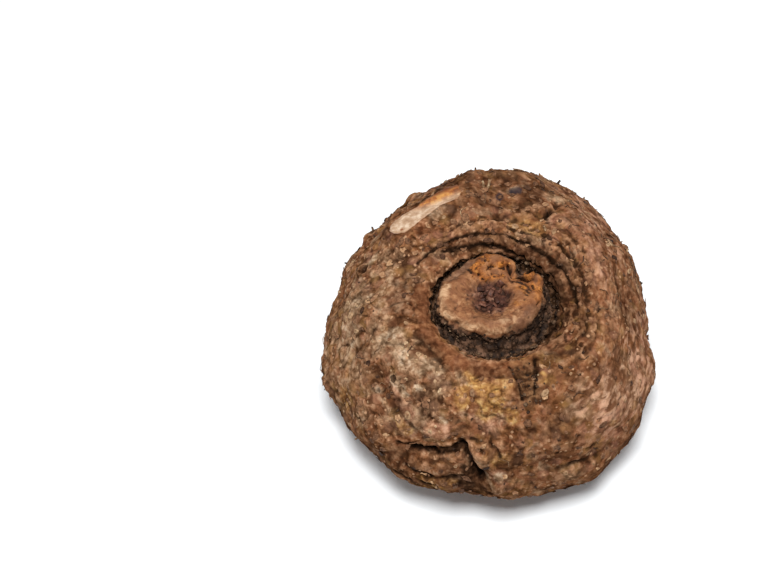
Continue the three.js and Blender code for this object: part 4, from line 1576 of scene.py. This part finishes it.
    def build(self) -> tuple[Piece, Ground, Array]:
        """Makes the skin's piece and pares it.

        Returns:
            The piece, the ground for small pieces, and the places around the cut, in millimetres.
        """
        form, reach, toward, tint = self.shape()
        skin = form.piece("corm_skin", (CorkSkin().material(), BudTissue().material()))
        floor = self.body.meridian.reach_of(FURROW[2])
        inside = reach[form.faces].mean(axis=1) < floor
        skin.data.polygons.foreach_set("material_index", inside.astype(np.int32))
        facing = self.knife.facing()
        middle = (self.knife.middle(self.body) - self.middle) * self.stretch
        rim = self.pare(skin, middle, facing)
        a, b, c = (form.points[form.faces[:, i]] for i in range(3))
        size = np.linalg.norm(np.cross(b - a, c - a), axis=1) / 6
        area = sum(np.bincount(form.faces[:, i], size, len(form.points)) for i in range(3))
        area *= (form.points - middle) @ facing < -0.9
        hollows = {name: form.marks[name] for name in ("hollow", "dimple")}
        ground = Ground(form.points, form.normals(), reach, toward, area, {**tint, **hollows})
        return skin, ground, rim

    def pare(self, skin: Piece, middle: Array, facing: Array) -> Array:
        """Takes off what stands outside the cut, and closes the surface there.

        Args:
            skin: the skin's piece.
            middle: a point of the cut face, in millimetres.
            facing: the way that the face looks.

        Returns:
            The places around the cut, in millimetres.
        """
        shell = bmesh.new()
        shell.from_mesh(skin.data)
        bmesh.ops.bisect_plane(shell, geom=[*shell.verts, *shell.edges, *shell.faces], dist=1e-7,
                               plane_co=middle * MM, plane_no=facing, clear_outer=True)
        edges = [edge for edge in shell.edges if edge.is_boundary]
        rim = np.array([vert.co for vert in {vert for edge in edges for vert in edge.verts}]) / MM
        filled = bmesh.ops.holes_fill(shell, edges=edges, sides=0)["faces"]
        bmesh.ops.triangulate(shell, faces=filled)
        shell.to_mesh(skin.data)
        shell.free()
        return rim


@dataclass
class ParedFace:
    """The cut face: a thin plate of flesh let into the skin, with the knife's waves in it."""

    rim: Array  # places around the cut, in millimetres
    facing: Array  # the way that the face looks
    inset: float = 0.5  # how far the flesh stays inside the cut's edge
    depth: float = 0.9  # how far the plate reaches into the body
    proud: float = 0.3  # how far it stands over the cut's plane
    wave: Pair = (5.2, 0.07)  # distance between two of the knife's waves, and their height
    spokes: int = 120  # corners around the plate
    rings: int = 22  # rings of corners on its face

    def edge(self, x: Array, y: Array, angle: Array) -> Array:
        """Traces the plate's edge just inside the cut's rim.

        Args:
            x: the rim's places to one side of its middle.
            y: the same places above it.
            angle: directions from the middle, in radians.

        Returns:
            Distance from the middle to the edge in each direction.
        """
        turn, away = np.arctan2(y, x), np.hypot(x, y)
        edge = np.array([away[np.argsort(np.abs((turn - a + math.pi) % TURN - math.pi))[:3]].max()
                         for a in angle])
        return np.minimum.reduce([np.roll(edge, k) for k in (-1, 0, 1)]) - self.inset

    def build(self) -> Piece:
        """Fits the plate to the cut's rim.

        Returns:
            The flesh's piece.
        """
        middle = (self.rim.min(axis=0) + self.rim.max(axis=0)) / 2
        aside = np.cross([0, 0, 1], self.facing)
        aside /= np.linalg.norm(aside)
        above = np.cross(self.facing, aside)
        angle = TURN * np.arange(self.spokes) / self.spokes
        edge = self.edge((self.rim - middle) @ aside, (self.rim - middle) @ above, angle)
        middle = middle + ((self.rim - middle) @ self.facing).mean() * self.facing
        outward = np.linspace(1 / self.rings, 1, self.rings)
        share = np.concatenate([outward[::3], [1.0], outward[::-1]])[:, None]
        below = np.arange(len(share))[:, None] <= len(outward[::3])
        px, py = share * edge * np.cos(angle), share * edge * np.sin(angle)
        flat = np.stack([px.ravel(), py.ravel(), np.zeros(px.size)], -1)
        waves = self.wave[1] * np.sin(TURN * (px + 0.3 * py) / self.wave[0] + 0.6 * np.sin(px / 7))
        waves += 0.07 * Grain(71).rough(flat, 5, 3).reshape(px.shape)
        height = np.where(below, -self.depth, self.proud + waves - 0.5 * ease(share, 0.9, 1))
        local = np.concatenate([[[0, 0, -self.depth]], np.stack([px.ravel(), py.ravel(), height.ravel()], -1),
                                [[0, 0, self.proud]]])
        points = middle + local @ np.stack([aside, above, self.facing])
        faces = rings_closed(len(share), self.spokes)
        span = local[:, 0].max() - local[:, 0].min()
        rims = np.concatenate([[0], np.repeat(share[:, 0], self.spokes), [0]])
        along = (local[:, 0].max() - local[:, 0]) / span
        outer = -local[:, 1] / np.abs(local[:, 1]).max()
        # Along rises at the outer edge as well, so that the darkest band of browning and painted shade runs
        # there.
        marks = {"along": along + 0.45 * outer * ease(along, 0.2, 0.6), "rim": rims}
        form = Form(points, faces, marks)
        return form.piece("pared_face", (CutFlesh().material(),))


# --- small pieces ---


@dataclass
class Scatter:
    """Many small closed pieces of one kind, set on the ground."""

    name: str  # the piece's name
    slot: str  # the record's slot that its finish stands for
    finish: Litter  # its finish
    count: int  # how many there are at most
    gap: float  # the least distance between two of them, in millimetres
    seed: int  # of their random numbers

    def density(self, ground: Ground) -> Array:
        """How crowded they are at each place of the ground."""
        raise NotImplementedError

    def shapes(self, rng: Rng, crowd: int) -> tuple[Array, Array]:
        """The corners of crowd pieces, each on its own origin with Z out of the ground, and one's faces."""
        raise NotImplementedError

    def pit(self, corners: int) -> Array:
        """How deep in its pit each of a piece's corners is, from 0 to 1."""
        return np.zeros(corners)

    def lean(self, rng: Rng, crowd: int) -> Array:
        """Tangent of each piece's tilt."""
        return rng.uniform(-0.15, 0.15, crowd)

    def tone(self, rng: Rng, ground: Ground, picks: Array) -> Array:
        """Tone of each piece, from 0 to 1."""
        return rng.uniform(0, 1, len(picks))

    def places(self, rng: Rng, ground: Ground) -> Array:
        """Numbers of the places that they stand on."""
        return ground.pick(rng, self.count, self.density(ground), self.gap)

    def build(self, ground: Ground) -> Piece:
        """Shapes the small pieces and sets them on the ground.

        Args:
            ground: the finished surface.

        Returns:
            All of them as one piece.
        """
        rng = np.random.default_rng(self.seed)
        picks = self.places(rng, ground)
        crowd = len(picks)
        corners, faces = self.shapes(rng, crowd)
        frames = ground.frames(rng, picks, self.lean(rng, crowd))
        points = ground.points[picks][:, None] + corners @ frames
        points[..., 2] = np.maximum(points[..., 2], 0.05)
        tone = self.tone(rng, ground, picks)
        each = corners.shape[1]
        rows = faces[None] + each * np.arange(crowd)[:, None, None]
        marks = {"tone": np.repeat(np.clip(tone, 0, 1), each), "pit": np.tile(self.pit(each), crowd)}
        form = Form(points.reshape(-1, 3), rows.reshape(-1, 3), marks)
        return form.piece(self.name, (self.finish.material(),))


def turned_stack(rng: Rng, size: Array, profile: Sequence[Pair], sides: int,
                 rough: float) -> tuple[Array, Array]:
    """Makes small turned shapes, each uneven in its own way.

    Args:
        rng: random numbers.
        size: each shape's radius.
        profile: radius and height of the first end, each ring and the last end, as shares of the size.
        sides: corners in each ring.
        rough: how uneven they are.

    Returns:
        Corners, one block for each shape, and the faces of one.
    """
    crowd = len(size)
    angle = TURN * np.arange(sides) / sides
    wobble = 1 + rough * rng.normal(size=(crowd, 1, sides))
    radius = np.array([r for r, _ in profile[1:-1]])[None, :, None] * wobble
    radius = radius * (1 + 0.4 * rough * rng.normal(size=radius.shape))
    height = np.array([h for _, h in profile[1:-1]])[None, :, None] * np.ones_like(radius)
    height = height + 0.35 * rough * rng.normal(size=height.shape)
    rings = np.stack([radius * np.cos(angle), radius * np.sin(angle), height], -1).reshape(crowd, -1, 3)
    ends = np.zeros((2, crowd, 1, 3))
    ends[0, ..., 2], ends[1, ..., 2] = profile[0][1], profile[-1][1]
    corners = np.concatenate([ends[0], rings, ends[1]], axis=1) * size[:, None, None]
    return corners, rings_closed(len(profile) - 2, sides)


@dataclass
class RootScars(Scatter):
    """Scars and stumps of withered roots: small cork rings, closed over or with a pit where the root was."""

    name: str = "root_scars"
    slot: str = "root_scar"
    finish: Litter = ROOT_CORK
    count: int = 420
    gap: float = 4.6
    seed: int = 101
    closed: float = 0.94  # the share of them that are closed over
    sides: int = 12  # corners around one
    # Radius and height of its rings, as shares of its size.
    profile: Line = (
        (0, -0.5), (1.3, -0.4), (1.12, 0.02), (0.88, 0.22), (0.62, 0.24), (0.38, 0.06), (0.2, 0.0), (0, 0.04))

    def density(self, ground: Ground) -> Array:
        """Crowds them on the pale skin at the left, with few on the lip and the folds and none on the bud.

        Args:
            ground: the finished surface.

        Returns:
            How crowded they are at each of its places.
        """
        tint = ground.tint
        left = sector(ground.toward, -155, 60, 50)
        much = 0.22 + 0.25 * left + (0.5 + 1.4 * left) * tint["pale"]
        much = much - 0.8 * tint["sunken"] - 0.9 * tint["rust"]
        return ground.within(np.maximum(much, 0.08), (70, 84), (225, 262), 0.75)

    def shapes(self, rng: Rng, crowd: int) -> tuple[Array, Array]:
        """Shapes cork rings about 0.5 to 2 mm in radius, most of them closed over by a low dome.

        Args:
            rng: random numbers.
            crowd: how many there are.

        Returns:
            Their corners, and the faces of one.
        """
        size = np.clip(rng.lognormal(-0.15, 0.42, crowd), 0.45, 1.6)
        corners, faces = turned_stack(rng, size, self.profile, self.sides, 0.1)
        corners[..., 0] *= rng.uniform(1.0, 1.6, crowd)[:, None]
        closed = rng.random(crowd) < self.closed
        inner = np.linalg.norm(corners[..., :2], axis=-1) < 0.75 * size[:, None]
        dome = 0.27 * size[:, None] * (1 + 0.2 * rng.normal(size=corners[..., 2].shape))
        above = corners[..., 2] > -0.2 * size[:, None]
        corners[..., 2] = np.where(closed[:, None] & inner & above, dome, corners[..., 2])
        return corners, faces

    def pit(self, corners: int) -> Array:
        """Dark at its foot and in its middle."""
        return np.array([0, *np.repeat([0.2, 0.05, 0, 0, 0.15, 0.3], self.sides), 0.3])

    def tone(self, rng: Rng, ground: Ground, picks: Array) -> Array:
        """Palest on the pale skin at the left, and darkest on dusky skin.

        Args:
            rng: random numbers.
            ground: the finished surface.
            picks: numbers of their places.

        Returns:
            Each one's tone, from 0 to 1.
        """
        left = sector(ground.toward[picks], -150, 50, 40)
        pale, dusky = ground.tint["pale"][picks], ground.tint["dusky"][picks]
        base = 0.38 + (0.1 + 0.25 * left) * pale - 0.25 * dusky
        return np.minimum(base + rng.normal(0, 0.15, len(picks)), 0.62 + 0.3 * pale)


@dataclass
class CorkFlakes(Scatter):
    """Chips of the outer cork that have lifted at one side and curled."""

    name: str = "cork_flakes"
    slot: str = "skin"
    finish: Litter = LOOSE_CORK
    count: int = 800
    gap: float = 3.2
    seed: int = 202
    sides: int = 7  # corners around one
    length: Pair = (1.0, 2.6)  # least and most, from its middle to its edge
    thickness: float = 0.16
    curl: float = 0.16  # by how much its sides rise
    tilt: float = 0.35  # the most that it leans, as a tangent

    def density(self, ground: Ground) -> Array:
        """Crowds them on the back, on dusky skin and on the ochre patch, with fewest on the lip.

        Args:
            ground: the finished surface.

        Returns:
            How crowded they are at each of its places.
        """
        tint = ground.tint
        back = sector(ground.toward, 90, 60, 60)
        much = 0.5 + 0.7 * back + 0.8 * tint["ochre"] + 0.5 * tint["dusky"] - 0.5 * tint["rust"]
        return ground.within(much, (66, 74), (225, 262), 0.8)

    def shapes(self, rng: Rng, crowd: int) -> tuple[Array, Array]:
        """Shapes thin curled chips.

        Args:
            rng: random numbers.
            crowd: how many there are.

        Returns:
            Their corners, and the faces of one.
        """
        size = rng.uniform(*self.length, crowd) * rng.uniform(0.7, 1.0, crowd)
        half = self.thickness / 2
        profile = ((0, -half), (0.85, -half), (1.0, 0.0), (0.9, half), (0, half))
        corners, faces = turned_stack(rng, np.ones(crowd), profile, self.sides, 0.2)
        corners[..., :2] *= size[:, None, None]
        corners[..., 0] *= rng.uniform(1.0, 1.8, crowd)[:, None]
        curl = self.curl * rng.uniform(0.2, 1.6, crowd)[:, None]
        corners[..., 2] += curl * corners[..., 1] ** 2 / size[:, None]
        corners[..., 2] += rng.uniform(0.05, 0.22, crowd)[:, None]
        return corners, faces

    def lean(self, rng: Rng, crowd: int) -> Array:
        """Tangent of each chip's tilt, by which one side of it is in the skin."""
        return rng.uniform(-self.tilt, self.tilt, crowd)

    def tone(self, rng: Rng, ground: Ground, picks: Array) -> Array:
        """Paler on pale and ochre skin, and darker in the sunken patch."""
        pale, ochre, sunken = (ground.tint[name][picks] for name in ("pale", "ochre", "sunken"))
        return np.minimum(0.38 + 0.2 * pale + 0.28 * ochre - 0.15 * sunken + rng.normal(0, 0.18, len(picks)),
                          0.8)


@dataclass
class TornTissue(CorkFlakes):
    """Shards of the bud's broken tissue, on the orange part of the boss."""

    name: str = "torn_bud_tissue"
    slot: str = "bud"
    finish: Litter = TORN_TISSUE
    count: int = 22
    gap: float = 3.5
    seed: int = 303
    length: Pair = (0.7, 1.5)
    thickness: float = 0.4
    tilt: float = 0.9

    def density(self, ground: Ground) -> Array:
        """Only on the broken tissue."""
        return ground.tint["broken"] * (1 - ease(ground.reach, 34, 38))

    def tone(self, rng: Rng, ground: Ground, picks: Array) -> Array:
        """Mostly mid orange."""
        return 0.38 + rng.normal(0, 0.15, len(picks))


@dataclass
class SoilCrumbs(Scatter):
    """Crumbs of soil caught in the furrow, the sunken patch and the split."""

    name: str = "soil_crumbs"
    slot: str = "soil"
    finish: Litter = DRY_SOIL
    count: int = 650
    gap: float = 1.4
    seed: int = 404
    sides: int = 6  # corners around one
    # Radius and height of its rings, as shares of its size.
    profile: Line = ((0, -0.7), (0.7, -0.45), (1, 0.15), (0.72, 0.65), (0, 0.85))

    def density(self, ground: Ground) -> Array:
        """Thick in the furrow and the sunken patch, and thin in other hollows."""
        tint = ground.tint
        return 1.4 * tint["furrow"] + 1.1 * tint["sunken"] + 0.35 * ease(tint["hollow"], 0.7, 2.2)

    def shapes(self, rng: Rng, crowd: int) -> tuple[Array, Array]:
        """Lumps between 0.35 and 1.9 mm in radius."""
        size = np.clip(rng.lognormal(-0.3, 0.42, crowd), 0.35, 1.9)
        return turned_stack(rng, size, self.profile, self.sides, 0.2)

    def tone(self, rng: Rng, ground: Ground, picks: Array) -> Array:
        """Mostly dark, with a few bright specks of grit."""
        bright = rng.random(len(picks)) < 0.04
        return np.where(bright, rng.uniform(0.75, 1, len(picks)), rng.uniform(0.25, 0.7, len(picks)))


def tubes(paths: Array, radius: Array, sides: int) -> tuple[Array, Array]:
    """Lays round tubes along paths.

    Args:
        paths: for each tube, the points that it follows.
        radius: for each tube, its radius at each of those points.
        sides: corners around a tube.

    Returns:
        Corners, one block for each tube, and the faces of one, with both ends closed.
    """
    ahead = np.gradient(paths, axis=1)
    ahead /= np.linalg.norm(ahead, axis=-1, keepdims=True) + 1e-9
    first = np.cross(ahead, np.array([0.13, 0.2, 0.97]))
    first /= np.linalg.norm(first, axis=-1, keepdims=True) + 1e-9
    second = np.cross(ahead, first)
    angle = (TURN * np.arange(sides) / sides)[None, None, :, None]
    ring = paths[:, :, None] + radius[:, :, None, None] * (
        np.cos(angle) * first[:, :, None] + np.sin(angle) * second[:, :, None])
    crowd, rings = paths.shape[:2]
    corners = np.concatenate([paths[:, :1], ring.reshape(crowd, -1, 3), paths[:, -1:]], axis=1)
    return corners, rings_closed(rings, sides)


@dataclass
class RootFibres(Scatter):
    """Thin dry rootlets that lie across the skin, with both ends in it."""

    name: str = "root_fibres"
    slot: str = "dry_root"
    finish: Litter = DRY_FIBRE
    count: int = 130
    gap: float = 4.0
    seed: int = 505
    length: Pair = (4.0, 13.0)  # least and most
    thickness: Pair = (0.22, 0.42)  # least and most, from its middle to its surface
    steps: int = 11  # rings along one
    sides: int = 5  # corners around it

    def density(self, ground: Ground) -> Array:
        """Most at the back and the right, where the roots were thickest."""
        return ground.within(0.35 + sector(ground.toward, 75, 75, 50), (74, 90), (215, 255), 0.8)

    def shapes(self, rng: Rng, crowd: int) -> tuple[Array, Array]:
        """Shapes low arches that wander a little.

        Args:
            rng: random numbers.
            crowd: how many there are.

        Returns:
            Their corners, and the faces of one.
        """
        share = np.linspace(0, 1, self.steps)[None]
        size = rng.uniform(*self.length, (crowd, 1))
        bend = rng.uniform(-0.35, 0.35, (crowd, 1)) * size
        twist = rng.uniform(0, TURN, (crowd, 1))
        x = size * (share - 0.5)
        y = bend * (4 * share * (1 - share)) + 0.35 * np.sin(TURN * 1.5 * share + twist)
        z = -0.6 + rng.uniform(0.8, 1.5, (crowd, 1)) * (4 * share * (1 - share)) ** 0.6
        z = z + 0.18 * np.sin(TURN * 2.3 * share + 2 * twist)
        radius = rng.uniform(*self.thickness, (crowd, 1)) * (1 - 0.55 * share)
        return tubes(np.stack([x, y, z], -1), radius, self.sides)

    def tone(self, rng: Rng, ground: Ground, picks: Array) -> Array:
        """From dark to straw."""
        return rng.uniform(0.1, 0.72, len(picks))


@dataclass
class RootStubs(Scatter):
    """Broken ends of the thicker roots, which stand out of the skin."""

    name: str = "root_stubs"
    slot: str = "dry_root"
    finish: Litter = DRY_FIBRE
    count: int = 70
    gap: float = 7.0
    seed: int = 606
    length: Pair = (0.6, 1.9)  # least and most that one stands out
    thickness: Pair = (0.4, 0.85)  # least and most, from its middle to its surface
    stout: float = 0.95  # the same for the stubs at places of their own
    steps: int = 6  # rings along one
    sides: int = 7  # corners around it
    # Reach, direction and length of the stubs at places of their own.
    named: tuple[tuple[float, float, float], ...] = (
        (107, 91, 5.0), (108, 93, 4.2), (139, 65, 3.4), (120, 57, 3.6), (86, 57, 3.0), (74, 33, 2.6),
        (128, -93, 2.8), (150, 140, 3.0), (156, 30, 3.4))

    def density(self, ground: Ground) -> Array:
        """Most at the back and around the widest level, none on the collar."""
        return ground.within(0.4 + 0.8 * sector(ground.toward, 80, 80, 50), (84, 110), (215, 250))

    def places(self, rng: Rng, ground: Ground) -> Array:
        """The named stubs' places, and random ones."""
        named = np.array([ground.nearest(reach, toward) for reach, toward, _ in self.named])
        return np.concatenate([named, super().places(rng, ground)])

    def shapes(self, rng: Rng, crowd: int) -> tuple[Array, Array]:
        """Shapes short bent pegs with a ragged end.

        Args:
            rng: random numbers.
            crowd: how many there are.

        Returns:
            Their corners, and the faces of one.
        """
        share = np.linspace(0, 1, self.steps)[None]
        size = rng.uniform(*self.length, (crowd, 1))
        thick = rng.uniform(*self.thickness, (crowd, 1))
        size[:len(self.named), 0] = [length for _, _, length in self.named]
        thick[:len(self.named)] = self.stout
        bend = rng.uniform(-0.4, 0.4, (crowd, 2, 1)) * size[:, None]
        path = np.stack([bend[:, 0] * share ** 2, bend[:, 1] * share ** 2, -1.0 + (size + 1.0) * share], -1)
        corners, faces = tubes(path, thick * (1.35 - 0.6 * share ** 0.5), self.sides)
        ragged = rng.uniform(-0.35, 0.35, (crowd, self.sides))
        corners[:, -1 - self.sides:-1, 2] += ragged
        return corners, faces

    def pit(self, corners: int) -> Array:
        """Dark in the middle of the broken end."""
        return np.array([*np.zeros(corners - 1), 0.7])

    def lean(self, rng: Rng, crowd: int) -> Array:
        """Tangent of each stub's tilt."""
        return rng.uniform(-0.7, 0.7, crowd)

    def tone(self, rng: Rng, ground: Ground, picks: Array) -> Array:
        """Pale for the first two at the back, dark for the third, and anything for the others."""
        return np.array([0.7, 0.7, 0.12, *rng.uniform(0.1, 0.7, len(picks))[3:]])


@dataclass
class BudShreds(Scatter):
    """Shreds of the bud's withered leaf bases, curled in the scar."""

    name: str = "bud_shreds"
    slot: str = "bud"
    finish: Litter = WITHERED_SCALE
    count: int = 34
    gap: float = 2.8
    seed: int = 707
    length: Pair = (5.0, 10.0)  # least and most
    width: Pair = (1.2, 2.6)  # least and most, from its middle to its edge
    thickness: float = 0.25  # from its middle to its face
    steps: int = 8  # rings along one

    def density(self, ground: Ground) -> Array:
        """Only in the scar."""
        return 1 - ease(ground.reach, 7.5, 11.5)

    def shapes(self, rng: Rng, crowd: int) -> tuple[Array, Array]:
        """Shapes flat ribbons that curl over.

        Args:
            rng: random numbers.
            crowd: how many there are.

        Returns:
            Their corners, and the faces of one.
        """
        share = np.linspace(0, 1, self.steps)[None]
        size = rng.uniform(*self.length, (crowd, 1))
        curl = rng.uniform(0.8, 2.6, (crowd, 1))
        turn = curl * share
        x = size / curl * (1 - np.cos(turn))
        z = size / curl * np.sin(turn) * 0.32 - 0.5
        path = np.stack([x, np.zeros_like(x), z], -1)
        corners, faces = tubes(path, np.full((crowd, self.steps), self.thickness), 6)
        broad = rng.uniform(*self.width, crowd)[:, None] / self.thickness
        corners[..., 1] *= broad
        corners[..., 1] += 0.3 * np.sin(3 * corners[..., 2])
        return corners, faces

    def lean(self, rng: Rng, crowd: int) -> Array:
        """Tangent of each shred's tilt."""
        return rng.uniform(-0.8, 0.8, crowd)

    def tone(self, rng: Rng, ground: Ground, picks: Array) -> Array:
        """Mostly dark, with some pinkish ones."""
        return 0.2 + 0.55 * rng.beta(1.8, 2.4, len(picks))


# --- studio ---


@dataclass
class Studio:
    """A plain pale floor, soft light from above, and the camera."""

    middle: Array  # by how much the corm was moved into its frame, in millimetres
    lens: float = 70.0  # focal length, in millimetres, for a sensor 36 mm across
    distance: float = 990.8  # from the aim to the camera, in millimetres
    pitch: float = 62.0  # how far down the camera looks, in degrees
    height: float = 55.0  # the aim's height over the floor, in millimetres
    # Where the aim stands in the frame, as tangents to the right and up.
    aside: Pair = (0.0744, -0.0291)
    floor_size: float = 6.0  # the floor's side, in metres
    # Name, place in metres, side in metres and power in watts of each lamp.
    lamps: tuple[tuple[str, tuple[float, float, float], float, float], ...] = (
        ("key", (0.0, -0.3, 1.75), 0.5, 35), ("right", (1.3, 0.7, 0.8), 1.0, 2.8),
        ("left", (-1.3, 0.5, 0.7), 1.0, 2.2))

    def floor(self) -> Piece:
        """Makes the floor.

        Returns:
            A square of white card.
        """
        mesh = bpy.data.meshes.new("floor")
        half = self.floor_size / 2
        mesh.from_pydata([(-half, -half, 0), (half, -half, 0), (half, half, 0), (-half, half, 0)], [],
                         [(0, 1, 2, 3)])
        card = bpy.data.materials.new("white_card")
        card.use_nodes = True
        shader = card.node_tree.nodes["Principled BSDF"]
        shader.inputs["Base Color"].default_value = linear("#f4f7f9")
        shader.inputs["Roughness"].default_value = 0.7
        mesh.materials.append(card)
        made = bpy.data.objects.new("floor", mesh)
        bpy.context.scene.collection.objects.link(made)
        return made

    def lamp(self, name: str, place: tuple[float, float, float], size: float, power: float) -> None:
        """Hangs a square lamp that looks at the corm.

        Args:
            name: the lamp's name.
            place: where it hangs, in metres.
            size: its side, in metres.
            power: in watts.
        """
        light = bpy.data.lights.new(name, "AREA")
        light.shape, light.size, light.energy = "SQUARE", size, power
        made = bpy.data.objects.new(name, light)
        made.location = place
        made.rotation_mode = "QUATERNION"
        made.rotation_quaternion = (-Vector(place) + Vector((0, 0, 0.05))).to_track_quat("-Z", "Y")
        bpy.context.scene.collection.objects.link(made)

    def light(self) -> None:
        """Sets the lamps and the surrounding light."""
        for lamp in self.lamps:
            self.lamp(*lamp)
        world = bpy.data.worlds.new("studio")
        world.use_nodes = True
        world.node_tree.nodes["Background"].inputs["Color"].default_value = linear("#f6fbff")
        world.node_tree.nodes["Background"].inputs["Strength"].default_value = 0.25
        bpy.context.scene.world = world
        bpy.context.scene.view_settings.view_transform = "Standard"

    def camera(self) -> None:
        """Sets the camera, swung so that the corm stands right of the frame's middle and below it."""
        data = bpy.data.cameras.new("camera")
        data.lens, data.sensor_width, data.clip_start, data.clip_end = self.lens, 36.0, 0.05, 20.0
        made = bpy.data.objects.new("camera", data)
        pitch = math.radians(self.pitch)
        aim = Vector((-self.middle[0], -self.middle[1], self.height)) * MM
        made.location = aim - Vector((0, math.cos(pitch), -math.sin(pitch))) * self.distance * MM
        level = Quaternion((1, 0, 0), math.pi / 2 - pitch)
        ahead = Vector((0, 0, -1))
        swing = ahead.rotation_difference(Vector((self.aside[0], self.aside[1], -1)))
        made.rotation_mode = "QUATERNION"
        made.rotation_quaternion = level @ swing.inverted()
        bpy.context.scene.collection.objects.link(made)
        bpy.context.scene.camera = made


def put(piece: Piece) -> None:
    """Sets a piece on the body and reports it.

    Args:
        piece: the piece.
    """
    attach(piece, BODY)
    piece.data.calc_loop_triangles()
    log.info("%s: %d triangles", piece.name, len(piece.data.loop_triangles))


def main() -> None:
    """Builds the corm's pieces and the studio."""
    logging.basicConfig(level=logging.INFO, format="%(message)s")
    knife = Knife()
    corm = CormSkin(Body(), knife)
    skin, ground, rim = corm.build()
    put(skin)
    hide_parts(NODE)
    put(ParedFace(rim, knife.facing()).build())
    makers: tuple[Scatter, ...] = (RootScars(), CorkFlakes(), TornTissue(), SoilCrumbs(), RootFibres(),
                                   RootStubs(), BudShreds())
    for maker in makers:
        put(maker.build(ground))
    studio = Studio(corm.middle)
    studio.floor()
    studio.light()
    studio.camera()


if __name__ == "__main__":
    main()
